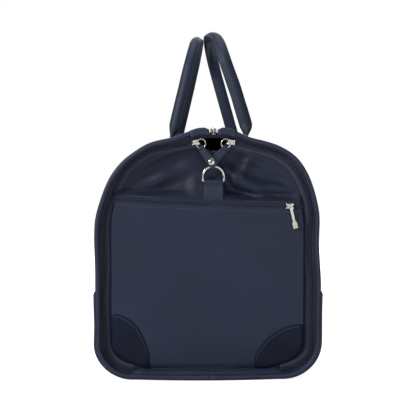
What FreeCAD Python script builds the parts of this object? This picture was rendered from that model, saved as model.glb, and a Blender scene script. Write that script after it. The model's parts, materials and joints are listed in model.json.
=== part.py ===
import FreeCAD, Part
import math
import os
from FreeCAD import Placement, Rotation, Vector

# A garment bag that folds into a duffel. A long padded panel wraps round two end panels: its middle is
# the base, its two flaps stand up at the sides and meet along the top zip. All sizes are millimetres.
# +Z is up, Y runs along the bag, and the end that carries the pocket faces -Y. Left and right of an
# end are as seen by somebody who faces that end.

# Driving dimensions of the bag's cross-section
LENGTH = 540.0
HALF_WIDTH = 143.0
CORNER_R = 48.0
SIDE_TOP = 195.0
SHOULDER_R = 110.0
TOP_R = 172.0

# Layers of the wrap, as insets from the outermost surface
COVER_INSET = 1.2
SHELL_INSET = 3.2
LINING_INSET = 7.0
BASE_LINING_THICKNESS = 1.0
BINDING_OUT, BINDING_IN = 1.0, 8.0
BINDING_DEPTH = 12.8
COVER_HEIGHT = 112.0
BOARD_THICKNESS = 3.0
BOARD_END_GAP = 10.0

# Folds: gaps between the base and what folds away from it
END_FOLD_INSET = 8.0
OUTER_FOLD_GAP = 1.6
INNER_FOLD_GAP = 4.0
STRIP_GAP = 1.5

# Zips: a coil 2 mm thick on a tape 0.8 mm thick
TAPE = 0.8
TAPE_OUTER_INSET = 5.0
COIL = 2.0
COIL_WIDTH = 2.3
HALF_GAP = 0.6
CONTACT_GAP = 0.01
CHAIN_INSET = 12.3
ZIP_FOOT = 92.0
PANEL_INSET = 17.2
PANEL_THICKNESS = 3.0
POCKET_INSET = 19.2

# Where the pieces of a flap end, before the middle of the top
SHELL_STOP = 9.0
BINDING_STOP = 5.0
END_ZIP_STOP = 8.0
LINING_STOP = 16.0
TOP_TAPE_TONGUE = 4.8
TOP_TAPE_END_GAP = 4.0

# Leather patches over the ends of the top zip, as distances from the middle of the top
END_PATCH_STATIONS = (28.0, 7.0)
END_PATCH_RISE = 0.9
END_PATCH_DEPTH = 20.0

# Zip slider, measured from the face of the tape that carries the coil
SLIDER_HALF_LENGTH = 5.2
SLIDER_HALF_WIDTH = 4.0
SLIDER_PLATE = 1.5
SLIDER_BACK_PLATE = 1.3
SLIDER_POST = (4.0, 0.4)
SLIDER_CLEARANCE = 0.3
BRIDGE_OPENING = 2.4
BRIDGE_CROWN = 1.0
BRIDGE_HALF_WIDTH = 0.8
BRIDGE_LEG_OUT, BRIDGE_LEG_IN = 4.1, 3.1

# Flat metal pull of the top zip
TOP_PULL_HALF, TOP_PULL_ARM_IN = 3.4, 2.0
TOP_PULL_WIRE = 0.7
TOP_PULL_PLATE = (6.0, 30.0)
TOP_PULL_HOLE_AT, TOP_PULL_HOLE_R = 26.0, 1.5

# Where the sliders stand
TOP_SLIDER_Y = -259.0
END_SLIDER_ANGLE = 8.0
POCKET_SLIDER_X = 104.0

# Leather pulls of the end zips
PULL_RING_R, PULL_RING_WIRE = 5.8, 0.7
PULL_RING_REACH, PULL_RING_DROP = 6.3, 2.6
PULL_LENGTH = 28.0
PULL_TOP_HALF, PULL_TIP_R = 2.5, 6.2
PULL_THICKNESS = 2.0
PULL_FRONT_TILT = 13.0
PULL_LOOP_IN, PULL_LOOP_OUT, PULL_LOOP_HALF = 1.5, 2.6, 1.9
PULL_RELIEF_HALF = 5.6
SNAP_REACH = 20.0
SNAP_POST_R = 1.2
SNAP_CAP = (4.4, 1.1)
SNAP_STUD = (2.2, 1.0)
SNAP_SOCKET = (2.2, 1.0)
SNAP_RIVET = (3.0, 0.5)

# Pocket on the front end
POCKET_ZIP_Z = 224.0
POCKET_SLOPE = 2.3
POCKET_ZIP_HALF = 112.0
POCKET_TAPE_Y = 2.0
POCKET_TAPE_HALF = 7.0
POCKET_EDGE_DROP = 5.5
POCKET_WALL = 1.4
POCKET_HEM = 2.0

# Bar pull of the pocket: an eye, a thin neck and a thicker block
BAR_PULL_TILT = 16.0
BAR_PULL_EYE = (1.9, 0.6)
BAR_PULL_NECK = (1.6, 0.8)
BAR_PULL_BLOCK = (2.9, 1.1)
BAR_PULL_NECK_TOP, BAR_PULL_BLOCK_TOP, BAR_PULL_END = 2.2, 20.5, 28.5

# Reinforcements in the lower corners of an end: (width, height)
LEFT_CORNER_PATCH = (50.0, 64.0)
RIGHT_CORNER_PATCH = (66.0, 50.0)
CORNER_PATCH_THICKNESS = 1.0

# Strap ring and its tab
RING_WIRE = 1.6
RING_HALF = 14.2
RING_LEG = 6.0
RING_CORNER = 2.0
RING_Z = 251.0
RING_STAND_OFF = 3.3
RING_LEAN = 4.0
TAB_HALF = 12.3
TAB_LAYER = 1.2
TAB_FOOT = 232.5
TAB_BORE_GAP = 0.3

# Carry handles
HANDLE_X = 53.5
HANDLE_RISE = {"left": 165.0, "right": 175.0}
HANDLE_R = 9.5
HANDLE_BORE = 5.0
HANDLE_CORE = 4.8
HANDLE_TOP_ARC = (150.0, 20.0)
HANDLE_BEND_ARC = (60.0, 62.0)
LEAF_TOP, LEAF_FOOT = 27.0, 1.5
LEAF_HALF_WIDTH, LEAF_HALF_THICKNESS = 15.0, 1.3
HANDLE_STAND_OFF = 3.0
HANDLE_TAB_LENGTH = 62.0
HANDLE_TAB_RISE = 0.6
HANDLE_LEAN = {"left": 13.3, "right": 16.2}

# Strap inside the left flap and its buckle
STRAP_RISE = 95.0
STRAP_HALF_WIDTH, STRAP_HALF_LENGTH = 12.5, 215.0
WEBBING_THICKNESS = 1.4
BUCKLE_HALF_LENGTH, BUCKLE_THICKNESS = 20.0, 6.0
BUCKLE_OVERHANG = 3.0
BUCKLE_GAP = 1.0

# Hanger ring inside the right flap
HANGER_STOP = 72.0
HANGER_STAND_OFF = 4.5
HANGER_WIRE = 2.0
HANGER_RING_R = 9.0
HANGER_HALF_WIDTH, HANGER_BAIL_DROP, HANGER_STEM = 15.0, 16.0, 12.0
HANGER_TAB_HALF_LENGTH, HANGER_TAB_HALF_WIDTH = 25.0, 14.0
HANGER_LOOP_HALF, HANGER_LOOP_WALL, HANGER_BORE_GAP = 12.0, 1.6, 0.3

HALF_LENGTH = LENGTH / 2
WRAP_END = HALF_LENGTH - BINDING_DEPTH
TAPE_FACE = WRAP_END
TAPE_BACK = WRAP_END - TAPE
FLOOR_HALF = HALF_WIDTH - CORNER_R
SHOULDER_X = HALF_WIDTH - SHOULDER_R
TOP_CENTRE_Z = SIDE_TOP - math.sqrt((TOP_R - SHOULDER_R) ** 2 - SHOULDER_X**2)
TOP_Z = TOP_CENTRE_Z + TOP_R
JUNCTION = math.degrees(math.acos(SHOULDER_X / (TOP_R - SHOULDER_R)))
CHAIN_R = TOP_R - CHAIN_INSET
POCKET_TAPE_FACE = -TAPE_BACK - POCKET_TAPE_Y - TAPE
POCKET_FRONT = POCKET_TAPE_FACE - POCKET_WALL
X_AXIS, Y_AXIS, Z_AXIS = Vector(1, 0, 0), Vector(0, 1, 0), Vector(0, 0, 1)
ORIGIN = Vector(0, 0, 0)

# The right half of the cross-section, from the middle of the floor to the middle of the top. A line is
# its two ends and its inward normal, an arc its centre, radius and two angles in degrees.
OUTLINE = (
    ("line", (0, 0), (FLOOR_HALF, 0), (0, 1)),
    ("arc", (FLOOR_HALF, CORNER_R), CORNER_R, (-90, 0)),
    ("line", (HALF_WIDTH, CORNER_R), (HALF_WIDTH, SIDE_TOP), (-1, 0)),
    ("arc", (SHOULDER_X, SIDE_TOP), SHOULDER_R, (0, JUNCTION)),
    ("arc", (0, TOP_CENTRE_Z), TOP_R, (JUNCTION, 90)),
)


def outline_length(piece):
    """Length of one line or arc of the outline."""
    if piece[0] == "line":
        return math.dist(piece[1], piece[2])
    return math.radians(piece[3][1] - piece[3][0]) * piece[2]


CORNER_END = sum(outline_length(piece) for piece in OUTLINE[:2])
HALF_ROUND = sum(outline_length(piece) for piece in OUTLINE)


def outline_point(piece, share, inset, side, y=0.0):
    """A point at that share of a line or arc, moved inward by inset, on side 1 or -1 of the bag."""
    if piece[0] == "line":
        start, end, normal = piece[1:]
        x, z = (start[k] + share * (end[k] - start[k]) + inset * normal[k] for k in (0, 1))
    else:
        centre, radius, (first, last) = piece[1:]
        angle = math.radians(first + share * (last - first))
        x = centre[0] + (radius - inset) * math.cos(angle)
        z = centre[1] + (radius - inset) * math.sin(angle)
    return Vector(side * x, y, z)


def half_edges(inset, start, end, side, y):
    """Edges of one half of the outline between two stations, which count from the middle of the floor."""
    edges = []
    at = 0.0
    for piece in OUTLINE:
        length = outline_length(piece)
        low, high = max(start, at), min(end, at + length)
        if high - low > 1e-6:
            shares = [(s - at) / length for s in (low, (low + high) / 2, high)]
            first, middle, last = (outline_point(piece, s, inset, side, y) for s in shares)
            curve = (
                Part.LineSegment(first, last)
                if piece[0] == "line"
                else Part.Arc(first, middle, last)
            )
            edges.append(curve.toShape())
        at += length
    return edges


def run_edges(inset, start, end, y):
    """Edges between two signed stations: negative is left of the middle of the floor, positive right."""
    edges = []
    if start < 0:
        edges += half_edges(inset, max(0.0, -end), -start, -1, y)
    if end > 0:
        edges += half_edges(inset, max(0.0, start), end, 1, y)
    return edges


def station_point(station, inset, y):
    """The point at a signed station."""
    at = 0.0
    for piece in OUTLINE:
        length = outline_length(piece)
        if abs(station) <= at + length + 1e-9:
            side = 1 if station >= 0 else -1
            return outline_point(piece, (abs(station) - at) / length, inset, side, y)
        at += length
    raise ValueError("a station lies past the middle of the top")


def extrude(edges, depth):
    """The solid that a closed ring of edges sweeps along +Y."""
    wire = Part.Wire(Part.__sortEdges__(edges))
    return Part.Face(wire).extrude(Vector(0, depth, 0))


def band(outer, inner, start, end, y_low, y_high):
    """A strip of the wrap between two insets, two signed stations and two places along the bag."""
    edges = run_edges(outer, start, end, y_low) + run_edges(inner, start, end, y_low)
    for station in (start, end):
        corners = (station_point(station, inset, y_low) for inset in (outer, inner))
        edges.append(Part.LineSegment(*corners).toShape())
    return extrude(edges, y_high - y_low)


def disc(inset, y_low, y_high):
    """A plate with the whole cross-section's outline, inset."""
    return extrude(run_edges(inset, -HALF_ROUND, HALF_ROUND, y_low), y_high - y_low)


def box(low, high):
    """An upright box from its lowest to its highest corner."""
    low, high = Vector(*low), Vector(*high)
    size = high - low
    return Part.makeBox(size.x, size.y, size.z, low)


def turned(shape, angle, axis=Y_AXIS, centre=ORIGIN):
    """A copy turned about a line."""
    copy = shape.copy()
    copy.rotate(centre, axis, angle)
    return copy


def moved(shape, x=0.0, y=0.0, z=0.0):
    """A copy moved."""
    copy = shape.copy()
    copy.translate(Vector(x, y, z))
    return copy


def both_ends(shape):
    """The solid at the front end and its twin at the rear."""
    return [shape, turned(shape, 180, Z_AXIS)]


def union(*shapes):
    """One solid from solids that touch or overlap."""
    whole = shapes[0]
    for shape in shapes[1:]:
        whole = whole.fuse(shape)
    return whole.removeSplitter()


def torus(centre, axis, radius, wire):
    """A ring of round wire."""
    return Part.makeTorus(radius, wire, centre, axis)


# ---- wrap: base and flaps ----


def base_parts():
    """The floor of the wrap with its two rounded corners, fixed to the ground body."""
    ends = (-WRAP_END, WRAP_END)
    corner_zip = []
    for side in (-1, 1):
        stations = sorted((side * ZIP_FOOT, side * CORNER_END))
        tape = band(
            TAPE_OUTER_INSET, CHAIN_INSET - HALF_GAP, *stations, -TAPE_FACE, -TAPE_BACK
        )
        coil = band(
            CHAIN_INSET - HALF_GAP - COIL_WIDTH,
            CHAIN_INSET - HALF_GAP,
            *stations,
            -TAPE_FACE - COIL,
            -TAPE_FACE,
        )
        corner_zip += both_ends(tape) + both_ends(coil)
    binding = band(
        BINDING_OUT, BINDING_IN, -CORNER_END, CORNER_END, -HALF_LENGTH, -WRAP_END
    )
    strip_half = ZIP_FOOT - STRIP_GAP
    strip = box(
        (-strip_half, -HALF_LENGTH + END_FOLD_INSET, BINDING_IN),
        (strip_half, -TAPE_BACK, PANEL_INSET - STRIP_GAP),
    )
    return {
        "base_panel": [band(0, SHELL_INSET, -CORNER_END, CORNER_END, *ends)],
        "base_board": [
            box(
                (-FLOOR_HALF, -WRAP_END + BOARD_END_GAP, SHELL_INSET),
                (FLOOR_HALF, WRAP_END - BOARD_END_GAP, SHELL_INSET + BOARD_THICKNESS),
            )
        ],
        "base_lining": [
            band(
                SHELL_INSET + BOARD_THICKNESS,
                SHELL_INSET + BOARD_THICKNESS + BASE_LINING_THICKNESS,
                -CORNER_END,
                CORNER_END,
                -TAPE_BACK,
                TAPE_BACK,
            )
        ],
        "base_edge_binding": both_ends(binding),
        "base_zip_corners": corner_zip,
        "end_seam_strips": both_ends(strip),
    }


def flap_band(side, outer, inner, start, end, y_low, y_high):
    """A strip of one flap. Stations are unsigned, and side is -1 for the left flap."""
    return band(outer, inner, *sorted((side * start, side * end)), y_low, y_high)


def top_zip_half(side):
    """One tape and coil of the top zip. The tape narrows to pass between the bindings."""
    edge = HALF_ROUND - HALF_GAP
    narrow_end = HALF_LENGTH - TOP_TAPE_END_GAP
    tape_inner = SHELL_INSET + TAPE
    tape_edge = edge - CONTACT_GAP
    tape = flap_band(
        side, SHELL_INSET, tape_inner, HALF_ROUND - LINING_STOP, tape_edge, -TAPE_BACK, TAPE_BACK
    )
    tongue_start = HALF_ROUND - TOP_TAPE_TONGUE
    tongue = flap_band(
        side, SHELL_INSET, tape_inner, tongue_start, tape_edge, -narrow_end, narrow_end
    )
    coil = flap_band(
        side, COVER_INSET, SHELL_INSET, edge - COIL_WIDTH, edge, -narrow_end, narrow_end
    )
    return [union(tape, tongue), coil]


def end_zip_halves(side):
    """The flap's halves of both end zips, tape and coil."""
    start, end = CORNER_END + INNER_FOLD_GAP, HALF_ROUND - END_ZIP_STOP
    edge = CHAIN_INSET - HALF_GAP
    tape = flap_band(side, TAPE_OUTER_INSET, edge, start, end, -TAPE_FACE, -TAPE_BACK)
    coil = flap_band(side, edge - COIL_WIDTH, edge, start, end, -TAPE_FACE - COIL, -TAPE_FACE)
    return both_ends_mirrored(tape) + both_ends_mirrored(coil)


def both_ends_mirrored(shape):
    """The solid at the front end and its mirror image at the rear, on the same flap."""
    return [shape, shape.mirror(ORIGIN, Y_AXIS)]


def zip_end_patches(side):
    """Leather patches folded over the binding at both ends of the top zip."""
    start, end = (HALF_ROUND - distance for distance in END_PATCH_STATIONS)
    shell_end = -WRAP_END + END_PATCH_DEPTH
    on_binding = flap_band(
        side, -END_PATCH_RISE, BINDING_OUT, start, end, -HALF_LENGTH, -WRAP_END
    )
    on_shell = flap_band(side, -END_PATCH_RISE, COVER_INSET, start, end, -WRAP_END, shell_end)
    return both_ends_mirrored(union(on_binding, on_shell))


def handle_tabs(name, side):
    """The tabs that are sewn to the flap and hold the two feet of a handle."""
    top = HALF_ROUND - math.asin(HANDLE_X / TOP_R) * TOP_R
    foot = handle_leg_point(HANDLE_RISE[name], 0.0)[0]
    tabs = []
    for y in (-foot, foot):
        tabs.append(
            flap_band(
                side,
                -HANDLE_TAB_RISE,
                COVER_INSET,
                top - HANDLE_TAB_LENGTH,
                top,
                y - LEAF_HALF_WIDTH,
                y + LEAF_HALF_WIDTH,
            )
        )
    return tabs


def flap_parts(name, side):
    """One flap: a side of the bag and half of its top."""
    cover_end = CORNER_END + COVER_HEIGHT - CORNER_R
    outer_start = CORNER_END + OUTER_FOLD_GAP
    inner_start = CORNER_END + INNER_FOLD_GAP
    ends = (-WRAP_END, WRAP_END)
    binding = flap_band(
        side,
        BINDING_OUT,
        BINDING_IN,
        inner_start,
        HALF_ROUND - BINDING_STOP,
        -HALF_LENGTH,
        -WRAP_END,
    )
    lining_end = HALF_ROUND - LINING_STOP
    return {
        f"{name}_shell": [
            flap_band(side, COVER_INSET, SHELL_INSET, outer_start, HALF_ROUND - SHELL_STOP, *ends)
        ],
        f"{name}_lower_cover": [flap_band(side, 0, COVER_INSET, outer_start, cover_end, *ends)],
        f"{name}_padded_lining": [
            flap_band(
                side, SHELL_INSET, LINING_INSET, inner_start, lining_end, -TAPE_BACK, TAPE_BACK
            )
        ],
        f"{name}_edge_binding": both_ends_mirrored(binding),
        f"{name}_top_zip_half": top_zip_half(side),
        f"{name}_end_zip_halves": end_zip_halves(side),
        f"{name}_zip_end_patches": zip_end_patches(side),
        f"{name}_handle_tabs": handle_tabs(name, side),
    }


# ---- inside the bag ----


def garment_strap():
    """The strap that holds folded clothes against the left flap, and its side-release buckle."""
    middle = CORNER_END + STRAP_RISE
    half = STRAP_HALF_WIDTH
    strap_inner = LINING_INSET + WEBBING_THICKNESS
    buckle_ends = (-BUCKLE_HALF_LENGTH, BUCKLE_HALF_LENGTH)
    strap = flap_band(
        -1,
        LINING_INSET,
        strap_inner,
        middle - half,
        middle + half,
        -STRAP_HALF_LENGTH,
        STRAP_HALF_LENGTH,
    )
    gap = flap_band(
        -1,
        LINING_INSET - BUCKLE_GAP,
        strap_inner + BUCKLE_GAP,
        middle - half - BUCKLE_GAP,
        middle + half + BUCKLE_GAP,
        *buckle_ends,
    )
    buckle = flap_band(
        -1,
        LINING_INSET,
        LINING_INSET + BUCKLE_THICKNESS,
        middle - half - BUCKLE_OVERHANG,
        middle + half + BUCKLE_OVERHANG,
        *buckle_ends,
    )
    return {"left_garment_strap": [strap.cut(gap)], "left_strap_buckle": [buckle]}


def bar_along_y(radius, half_length, centre):
    """A round bar along the bag."""
    start = centre - Vector(0, half_length, 0)
    return Part.makeCylinder(radius, 2 * half_length, start, Y_AXIS)


def hanger_parts():
    """A webbing tab sewn inside the right flap, and the steel ring on it that takes coat hangers."""
    middle = HALF_ROUND - HANGER_STOP
    pivot = station_point(middle, LINING_INSET + HANGER_STAND_OFF, 0.0)
    wire, half, drop = HANGER_WIRE, HANGER_HALF_WIDTH, HANGER_BAIL_DROP
    tab = flap_band(
        1,
        LINING_INSET,
        LINING_INSET + WEBBING_THICKNESS,
        middle - HANGER_TAB_HALF_LENGTH,
        middle + HANGER_TAB_HALF_LENGTH,
        -HANGER_TAB_HALF_WIDTH,
        HANGER_TAB_HALF_WIDTH,
    )
    loop = bar_along_y(wire + HANGER_LOOP_WALL, HANGER_LOOP_HALF, pivot)
    hole = bar_along_y(wire + HANGER_BORE_GAP, half, pivot)
    bars = [bar_along_y(wire, half, pivot + Vector(0, 0, z)) for z in (0, -drop)]
    legs = [Part.makeCylinder(wire, drop, pivot + Vector(0, y, 0), -Z_AXIS) for y in (-half, half)]
    corners = [
        Part.makeSphere(wire, pivot + Vector(0, y, z)) for y in (-half, half) for z in (0, -drop)
    ]
    stem_top = pivot - Vector(0, 0, drop)
    stem = Part.makeCylinder(wire, HANGER_STEM, stem_top, -Z_AXIS)
    ring = torus(stem_top - Vector(0, 0, HANGER_STEM + HANGER_RING_R), X_AXIS, HANGER_RING_R, wire)
    return {
        "right_hanger_tab": [union(tab, loop).cut(hole)],
        "hanger_ring": [union(*bars, *legs, *corners, stem, ring)],
    }


# ---- handles ----


def arc_step(point, heading, radius, turn):
    """Where a path that bends downward ends, with its middle point and new heading. Angles in degrees."""

    def normal(angle):
        return math.sin(math.radians(angle)), -math.cos(math.radians(angle))

    n = normal(heading)
    centre = (point[0] + radius * n[0], point[1] + radius * n[1])
    ends = []
    for angle in (heading - turn / 2, heading - turn):
        n = normal(angle)
        ends.append((centre[0] - radius * n[0], centre[1] - radius * n[1]))
    return ends[0], ends[1], heading - turn


def handle_arcs(rise):
    """The two arcs of half a handle, from its crown, and the heading of its leg."""
    start = (0.0, rise)
    middle_1, end_1, heading = arc_step(start, 0.0, *HANDLE_TOP_ARC)
    middle_2, end_2, heading = arc_step(end_1, heading, *HANDLE_BEND_ARC)
    return [(start, middle_1, end_1), (end_1, middle_2, end_2)], heading


def handle_leg_point(rise, height):
    """(distance from the middle, height) of a point on the straight leg."""
    arcs, heading = handle_arcs(rise)
    foot = arcs[1][2]
    reach = (foot[1] - height) / -math.sin(math.radians(heading))
    return foot[0] + reach * math.cos(math.radians(heading)), height


def handle_sweep(rise, radius, low):
    """A round bar along the whole handle, with its legs cut off at height low."""
    arcs, _ = handle_arcs(rise)
    edges = []
    for mirror in (-1, 1):
        for arc in arcs:
            edges.append(Part.Arc(*(Vector(0, mirror * y, z) for y, z in arc)).toShape())
        knee, end = arcs[1][2], handle_leg_point(rise, low)
        edges.append(
            Part.LineSegment(
                Vector(0, mirror * knee[0], knee[1]), Vector(0, mirror * end[0], end[1])
            ).toShape()
        )
    path = Part.Wire(Part.__sortEdges__(edges))
    first = path.OrderedVertexes[0].Point
    along = path.OrderedVertexes[1].Point - first
    section = Part.Wire([Part.makeCircle(radius, first, along)])
    return path.makePipeShell([section], True, False)


def leaf(rise, mirror):
    """The foot of a handle, where the round grip is pressed flat before it is sewn to its tab."""
    top, foot = handle_leg_point(rise, LEAF_TOP), handle_leg_point(rise, LEAF_FOOT)
    top_point, foot_point = Vector(0, mirror * top[0], top[1]), Vector(0, mirror * foot[0], foot[1])
    along = top_point - foot_point
    round_end = Part.Wire([Part.makeCircle(HANDLE_R, top_point, along)])
    flat = Part.Ellipse(ORIGIN, LEAF_HALF_WIDTH, LEAF_HALF_THICKNESS).toShape()
    flat.Placement = Placement(foot_point, Rotation(Y_AXIS, X_AXIS * -1, along, "ZXY"))
    return Part.makeLoft([Part.Wire([flat]), round_end], True, True)


def handle_parts(name, side):
    """A rolled handle with its core, leaning inward over the top zip."""
    foot_z = TOP_CENTRE_Z + math.sqrt((TOP_R - COVER_INSET) ** 2 - HANDLE_X**2) + HANDLE_STAND_OFF
    rise = HANDLE_RISE[name]
    bore = handle_sweep(rise, HANDLE_BORE, LEAF_TOP + 6)
    grip = union(handle_sweep(rise, HANDLE_R, LEAF_TOP), leaf(rise, -1), leaf(rise, 1)).cut(bore)
    core = handle_sweep(rise, HANDLE_CORE, LEAF_TOP + 7)
    lean = -side * HANDLE_LEAN[name]
    placed = [
        moved(turned(solid, lean), side * HANDLE_X, 0, foot_z) for solid in (grip, core)
    ]
    return {f"{name}_handle_grip": [placed[0]], f"{name}_handle_core": [placed[1]]}


# ---- zip sliders and pulls ----


def slider_body():
    """A slider in its own frame: the chain runs along X, the coil is above the tape, whose face is z 0."""
    half_l, half_w = SLIDER_HALF_LENGTH, SLIDER_HALF_WIDTH
    top = COIL + SLIDER_CLEARANCE
    bottom = -TAPE - SLIDER_CLEARANCE
    post_length, post_half = SLIDER_POST
    upper = box((-half_l, -half_w, top), (half_l, half_w, top + SLIDER_PLATE))
    lower = box((-half_l, -half_w, bottom - SLIDER_BACK_PLATE), (half_l, half_w, bottom))
    post = box((-post_length, -post_half, bottom), (0, post_half, top))
    shoulder = top + SLIDER_PLATE
    crown = shoulder + BRIDGE_OPENING
    legs = [
        box(
            (min(a, b), -BRIDGE_HALF_WIDTH, shoulder),
            (max(a, b), BRIDGE_HALF_WIDTH, crown),
        )
        for a, b in (
            (-BRIDGE_LEG_OUT, -BRIDGE_LEG_IN),
            (BRIDGE_LEG_IN, BRIDGE_LEG_OUT),
        )
    ]
    cap = box(
        (-BRIDGE_LEG_OUT, -BRIDGE_HALF_WIDTH, crown),
        (BRIDGE_LEG_OUT, BRIDGE_HALF_WIDTH, crown + BRIDGE_CROWN),
    )
    return union(upper, lower, post, *legs, cap)


BRIDGE_MIDDLE = COIL + SLIDER_CLEARANCE + SLIDER_PLATE + BRIDGE_OPENING / 2
CROWN_MIDDLE = BRIDGE_MIDDLE + BRIDGE_OPENING / 2 + BRIDGE_CROWN / 2


def top_slider_parts():
    """The slider of the top zip and its flat pull, which lies back along the zip."""
    tape_z = TOP_Z - SHELL_INSET
    wire, half = TOP_PULL_WIRE, TOP_PULL_HALF
    plate_start, plate_end = TOP_PULL_PLATE
    low, high = BRIDGE_MIDDLE - wire, BRIDGE_MIDDLE + wire
    bar = bar_along_y(wire, half, Vector(0, 0, BRIDGE_MIDDLE))
    arms = [
        box((0, y_low, low), (plate_start, y_high, high))
        for y_low, y_high in ((-half, -TOP_PULL_ARM_IN), (TOP_PULL_ARM_IN, half))
    ]
    plate = box((plate_start, -half, low), (plate_end, half, high))
    hole_foot = Vector(TOP_PULL_HOLE_AT, 0, low)
    hole = Part.makeCylinder(TOP_PULL_HOLE_R, high - low, hole_foot, Z_AXIS)
    pull = union(bar, *arms, plate).cut(hole)
    parts = {}
    for name, shape in (("top_zip_slider", slider_body()), ("top_zip_pull", pull)):
        parts[name] = [moved(turned(shape, 90, Z_AXIS), 0, TOP_SLIDER_Y, tape_z)]
    return parts


def on_end(shape, tape_face):
    """Stands a shape made in the slider's frame upright, facing -Y, at the height of the chain's crown."""
    return moved(turned(shape, 90, X_AXIS), 0, -tape_face, TOP_CENTRE_Z + CHAIN_R)


def along_chain(shape, angle):
    """Carries a shape from the chain's crown round the top arc. Positive goes towards +X."""
    return turned(shape, angle, Y_AXIS, Vector(0, 0, TOP_CENTRE_Z))


def ring_foot(side):
    """The lowest point of the ring on an end slider, which the leather pull hangs from."""
    at_crown = Vector(-side * PULL_RING_REACH, -TAPE_FACE - BRIDGE_MIDDLE, CHAIN_R - PULL_RING_DROP)
    centre = Rotation(Y_AXIS, side * END_SLIDER_ANGLE).multVec(at_crown)
    return centre + Vector(0, 0, TOP_CENTRE_Z - PULL_RING_R)


def end_slider(side):
    """The slider on one side of an end zip and the round ring through its bridge, as two solids."""
    centre = Vector(-side * PULL_RING_REACH, -PULL_RING_DROP, BRIDGE_MIDDLE)
    ring = torus(centre, Z_AXIS, PULL_RING_R, PULL_RING_WIRE)
    return [
        along_chain(on_end(shape, TAPE_FACE), side * END_SLIDER_ANGLE)
        for shape in (slider_body(), ring)
    ]


def pull_strap(tilt):
    """A leather pull that hangs from the X axis, with its loop, and its front face towards -Y."""
    top, low = -PULL_LOOP_IN - 0.3, -PULL_LENGTH + PULL_TIP_R
    half = PULL_THICKNESS / 2
    corners = [
        Vector(-PULL_TOP_HALF, -half, top),
        Vector(-PULL_TIP_R, -half, low),
        Vector(0, -half, -PULL_LENGTH),
        Vector(PULL_TIP_R, -half, low),
        Vector(PULL_TOP_HALF, -half, top),
    ]
    edges = [
        Part.LineSegment(corners[0], corners[1]).toShape(),
        Part.Arc(corners[1], corners[2], corners[3]).toShape(),
        Part.LineSegment(corners[3], corners[4]).toShape(),
        Part.LineSegment(corners[4], corners[0]).toShape(),
    ]
    strap = turned(extrude(edges, PULL_THICKNESS), -tilt, X_AXIS)
    post_hole = turned(
        Part.makeCylinder(SNAP_POST_R, 10, Vector(0, -5, -SNAP_REACH), Y_AXIS), -tilt, X_AXIS
    )
    return strap.cut(post_hole)


def on_ring(radius, half_length):
    """A cylinder round the X axis, where the pull's ring passes."""
    return Part.makeCylinder(radius, 2 * half_length, Vector(-half_length, 0, 0), X_AXIS)


def snap(tilt, front, back):
    """A press stud on a pull: discs of (radius, thickness) on its front and back, and a post between."""
    half = PULL_THICKNESS / 2
    solids = [Part.makeCylinder(SNAP_POST_R, PULL_THICKNESS, Vector(0, -half, -SNAP_REACH), Y_AXIS)]
    for (radius, thickness), y in ((front, -half - front[1]), (back, half)):
        solids.append(Part.makeCylinder(radius, thickness, Vector(0, y, -SNAP_REACH), Y_AXIS))
    return turned(union(*solids), -tilt, X_AXIS)


def leather_pull(side):
    """The leather pull and the press stud half of one end slider. The left pull lies over the right."""
    tilt = PULL_FRONT_TILT if side < 0 else 0.0
    foot = ring_foot(side)
    slant = math.degrees(math.asin(foot.x / SNAP_REACH))
    loop = on_ring(PULL_LOOP_OUT, PULL_LOOP_HALF).cut(on_ring(PULL_LOOP_IN, PULL_LOOP_HALF))
    strap = turned(pull_strap(tilt), slant).cut(on_ring(PULL_LOOP_OUT, PULL_RELIEF_HALF))
    leather = union(loop, strap)
    stud = snap(tilt, SNAP_CAP, SNAP_STUD) if side < 0 else snap(tilt, SNAP_SOCKET, SNAP_RIVET)
    return moved(leather, *foot), moved(turned(stud, slant), *foot)


def end_slider_parts(end):
    """Both sliders of an end zip with their leather pulls."""
    turn = 0 if end == "front" else 180
    parts = {}
    for name, side in (("left", -1), ("right", 1)):
        leather, stud = leather_pull(side)
        for node, solids in (
            (f"{end}_{name}_slider", end_slider(side)),
            (f"{end}_{name}_pull", [leather]),
            (f"{end}_{name}_pull_snap", [stud]),
        ):
            parts[node] = [turned(solid, turn, Z_AXIS) for solid in solids]
    return parts


# ---- end panels ----


def end_zip_half():
    """The end panel's half of its zip, up both sides to the middle of the top."""
    edge = CHAIN_INSET + HALF_GAP
    solids = []
    for side in (-1, 1):
        stations = sorted((side * ZIP_FOOT, side * (HALF_ROUND - 0.4)))
        solids.append(band(edge, POCKET_INSET - 0.2, *stations, -TAPE_FACE, -TAPE_BACK))
        solids.append(band(edge, edge + COIL_WIDTH, *stations, -TAPE_FACE - COIL, -TAPE_FACE))
    return solids


def corner_patch(side, width, height, y_face):
    """A quarter-oval reinforcement in a lower corner of the end."""
    thickness = CORNER_PATCH_THICKNESS
    plate = disc(POCKET_INSET, y_face, y_face + thickness)
    corner_x = side * (HALF_WIDTH - POCKET_INSET)
    oval = Part.Ellipse(ORIGIN, max(width, height), min(width, height)).toShape()
    if height > width:
        oval.rotate(ORIGIN, Z_AXIS, 90)
    oval.rotate(ORIGIN, X_AXIS, 90)
    oval.translate(Vector(corner_x, y_face + thickness, POCKET_INSET))
    cutter = Part.Face(Part.Wire([oval])).extrude(Vector(0, -thickness, 0))
    return plate.common(cutter)


def ring_tab():
    """The folded leather tab that holds the strap ring."""
    y_panel = -TAPE_BACK
    bar = Vector(0, y_panel - RING_STAND_OFF, RING_Z)
    plate = box(
        (-TAB_HALF, y_panel - 2 * TAB_LAYER, TAB_FOOT), (TAB_HALF, y_panel, RING_Z - 1)
    )
    bore_r = RING_WIRE + TAB_BORE_GAP
    out_r = bore_r + TAB_LAYER
    start = bar - Vector(TAB_HALF, 0, 0)
    tube = Part.makeCylinder(out_r, 2 * TAB_HALF, start, X_AXIS)
    bore = Part.makeCylinder(bore_r, 2 * TAB_HALF, start, X_AXIS)
    return union(plate, tube).cut(bore)


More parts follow.
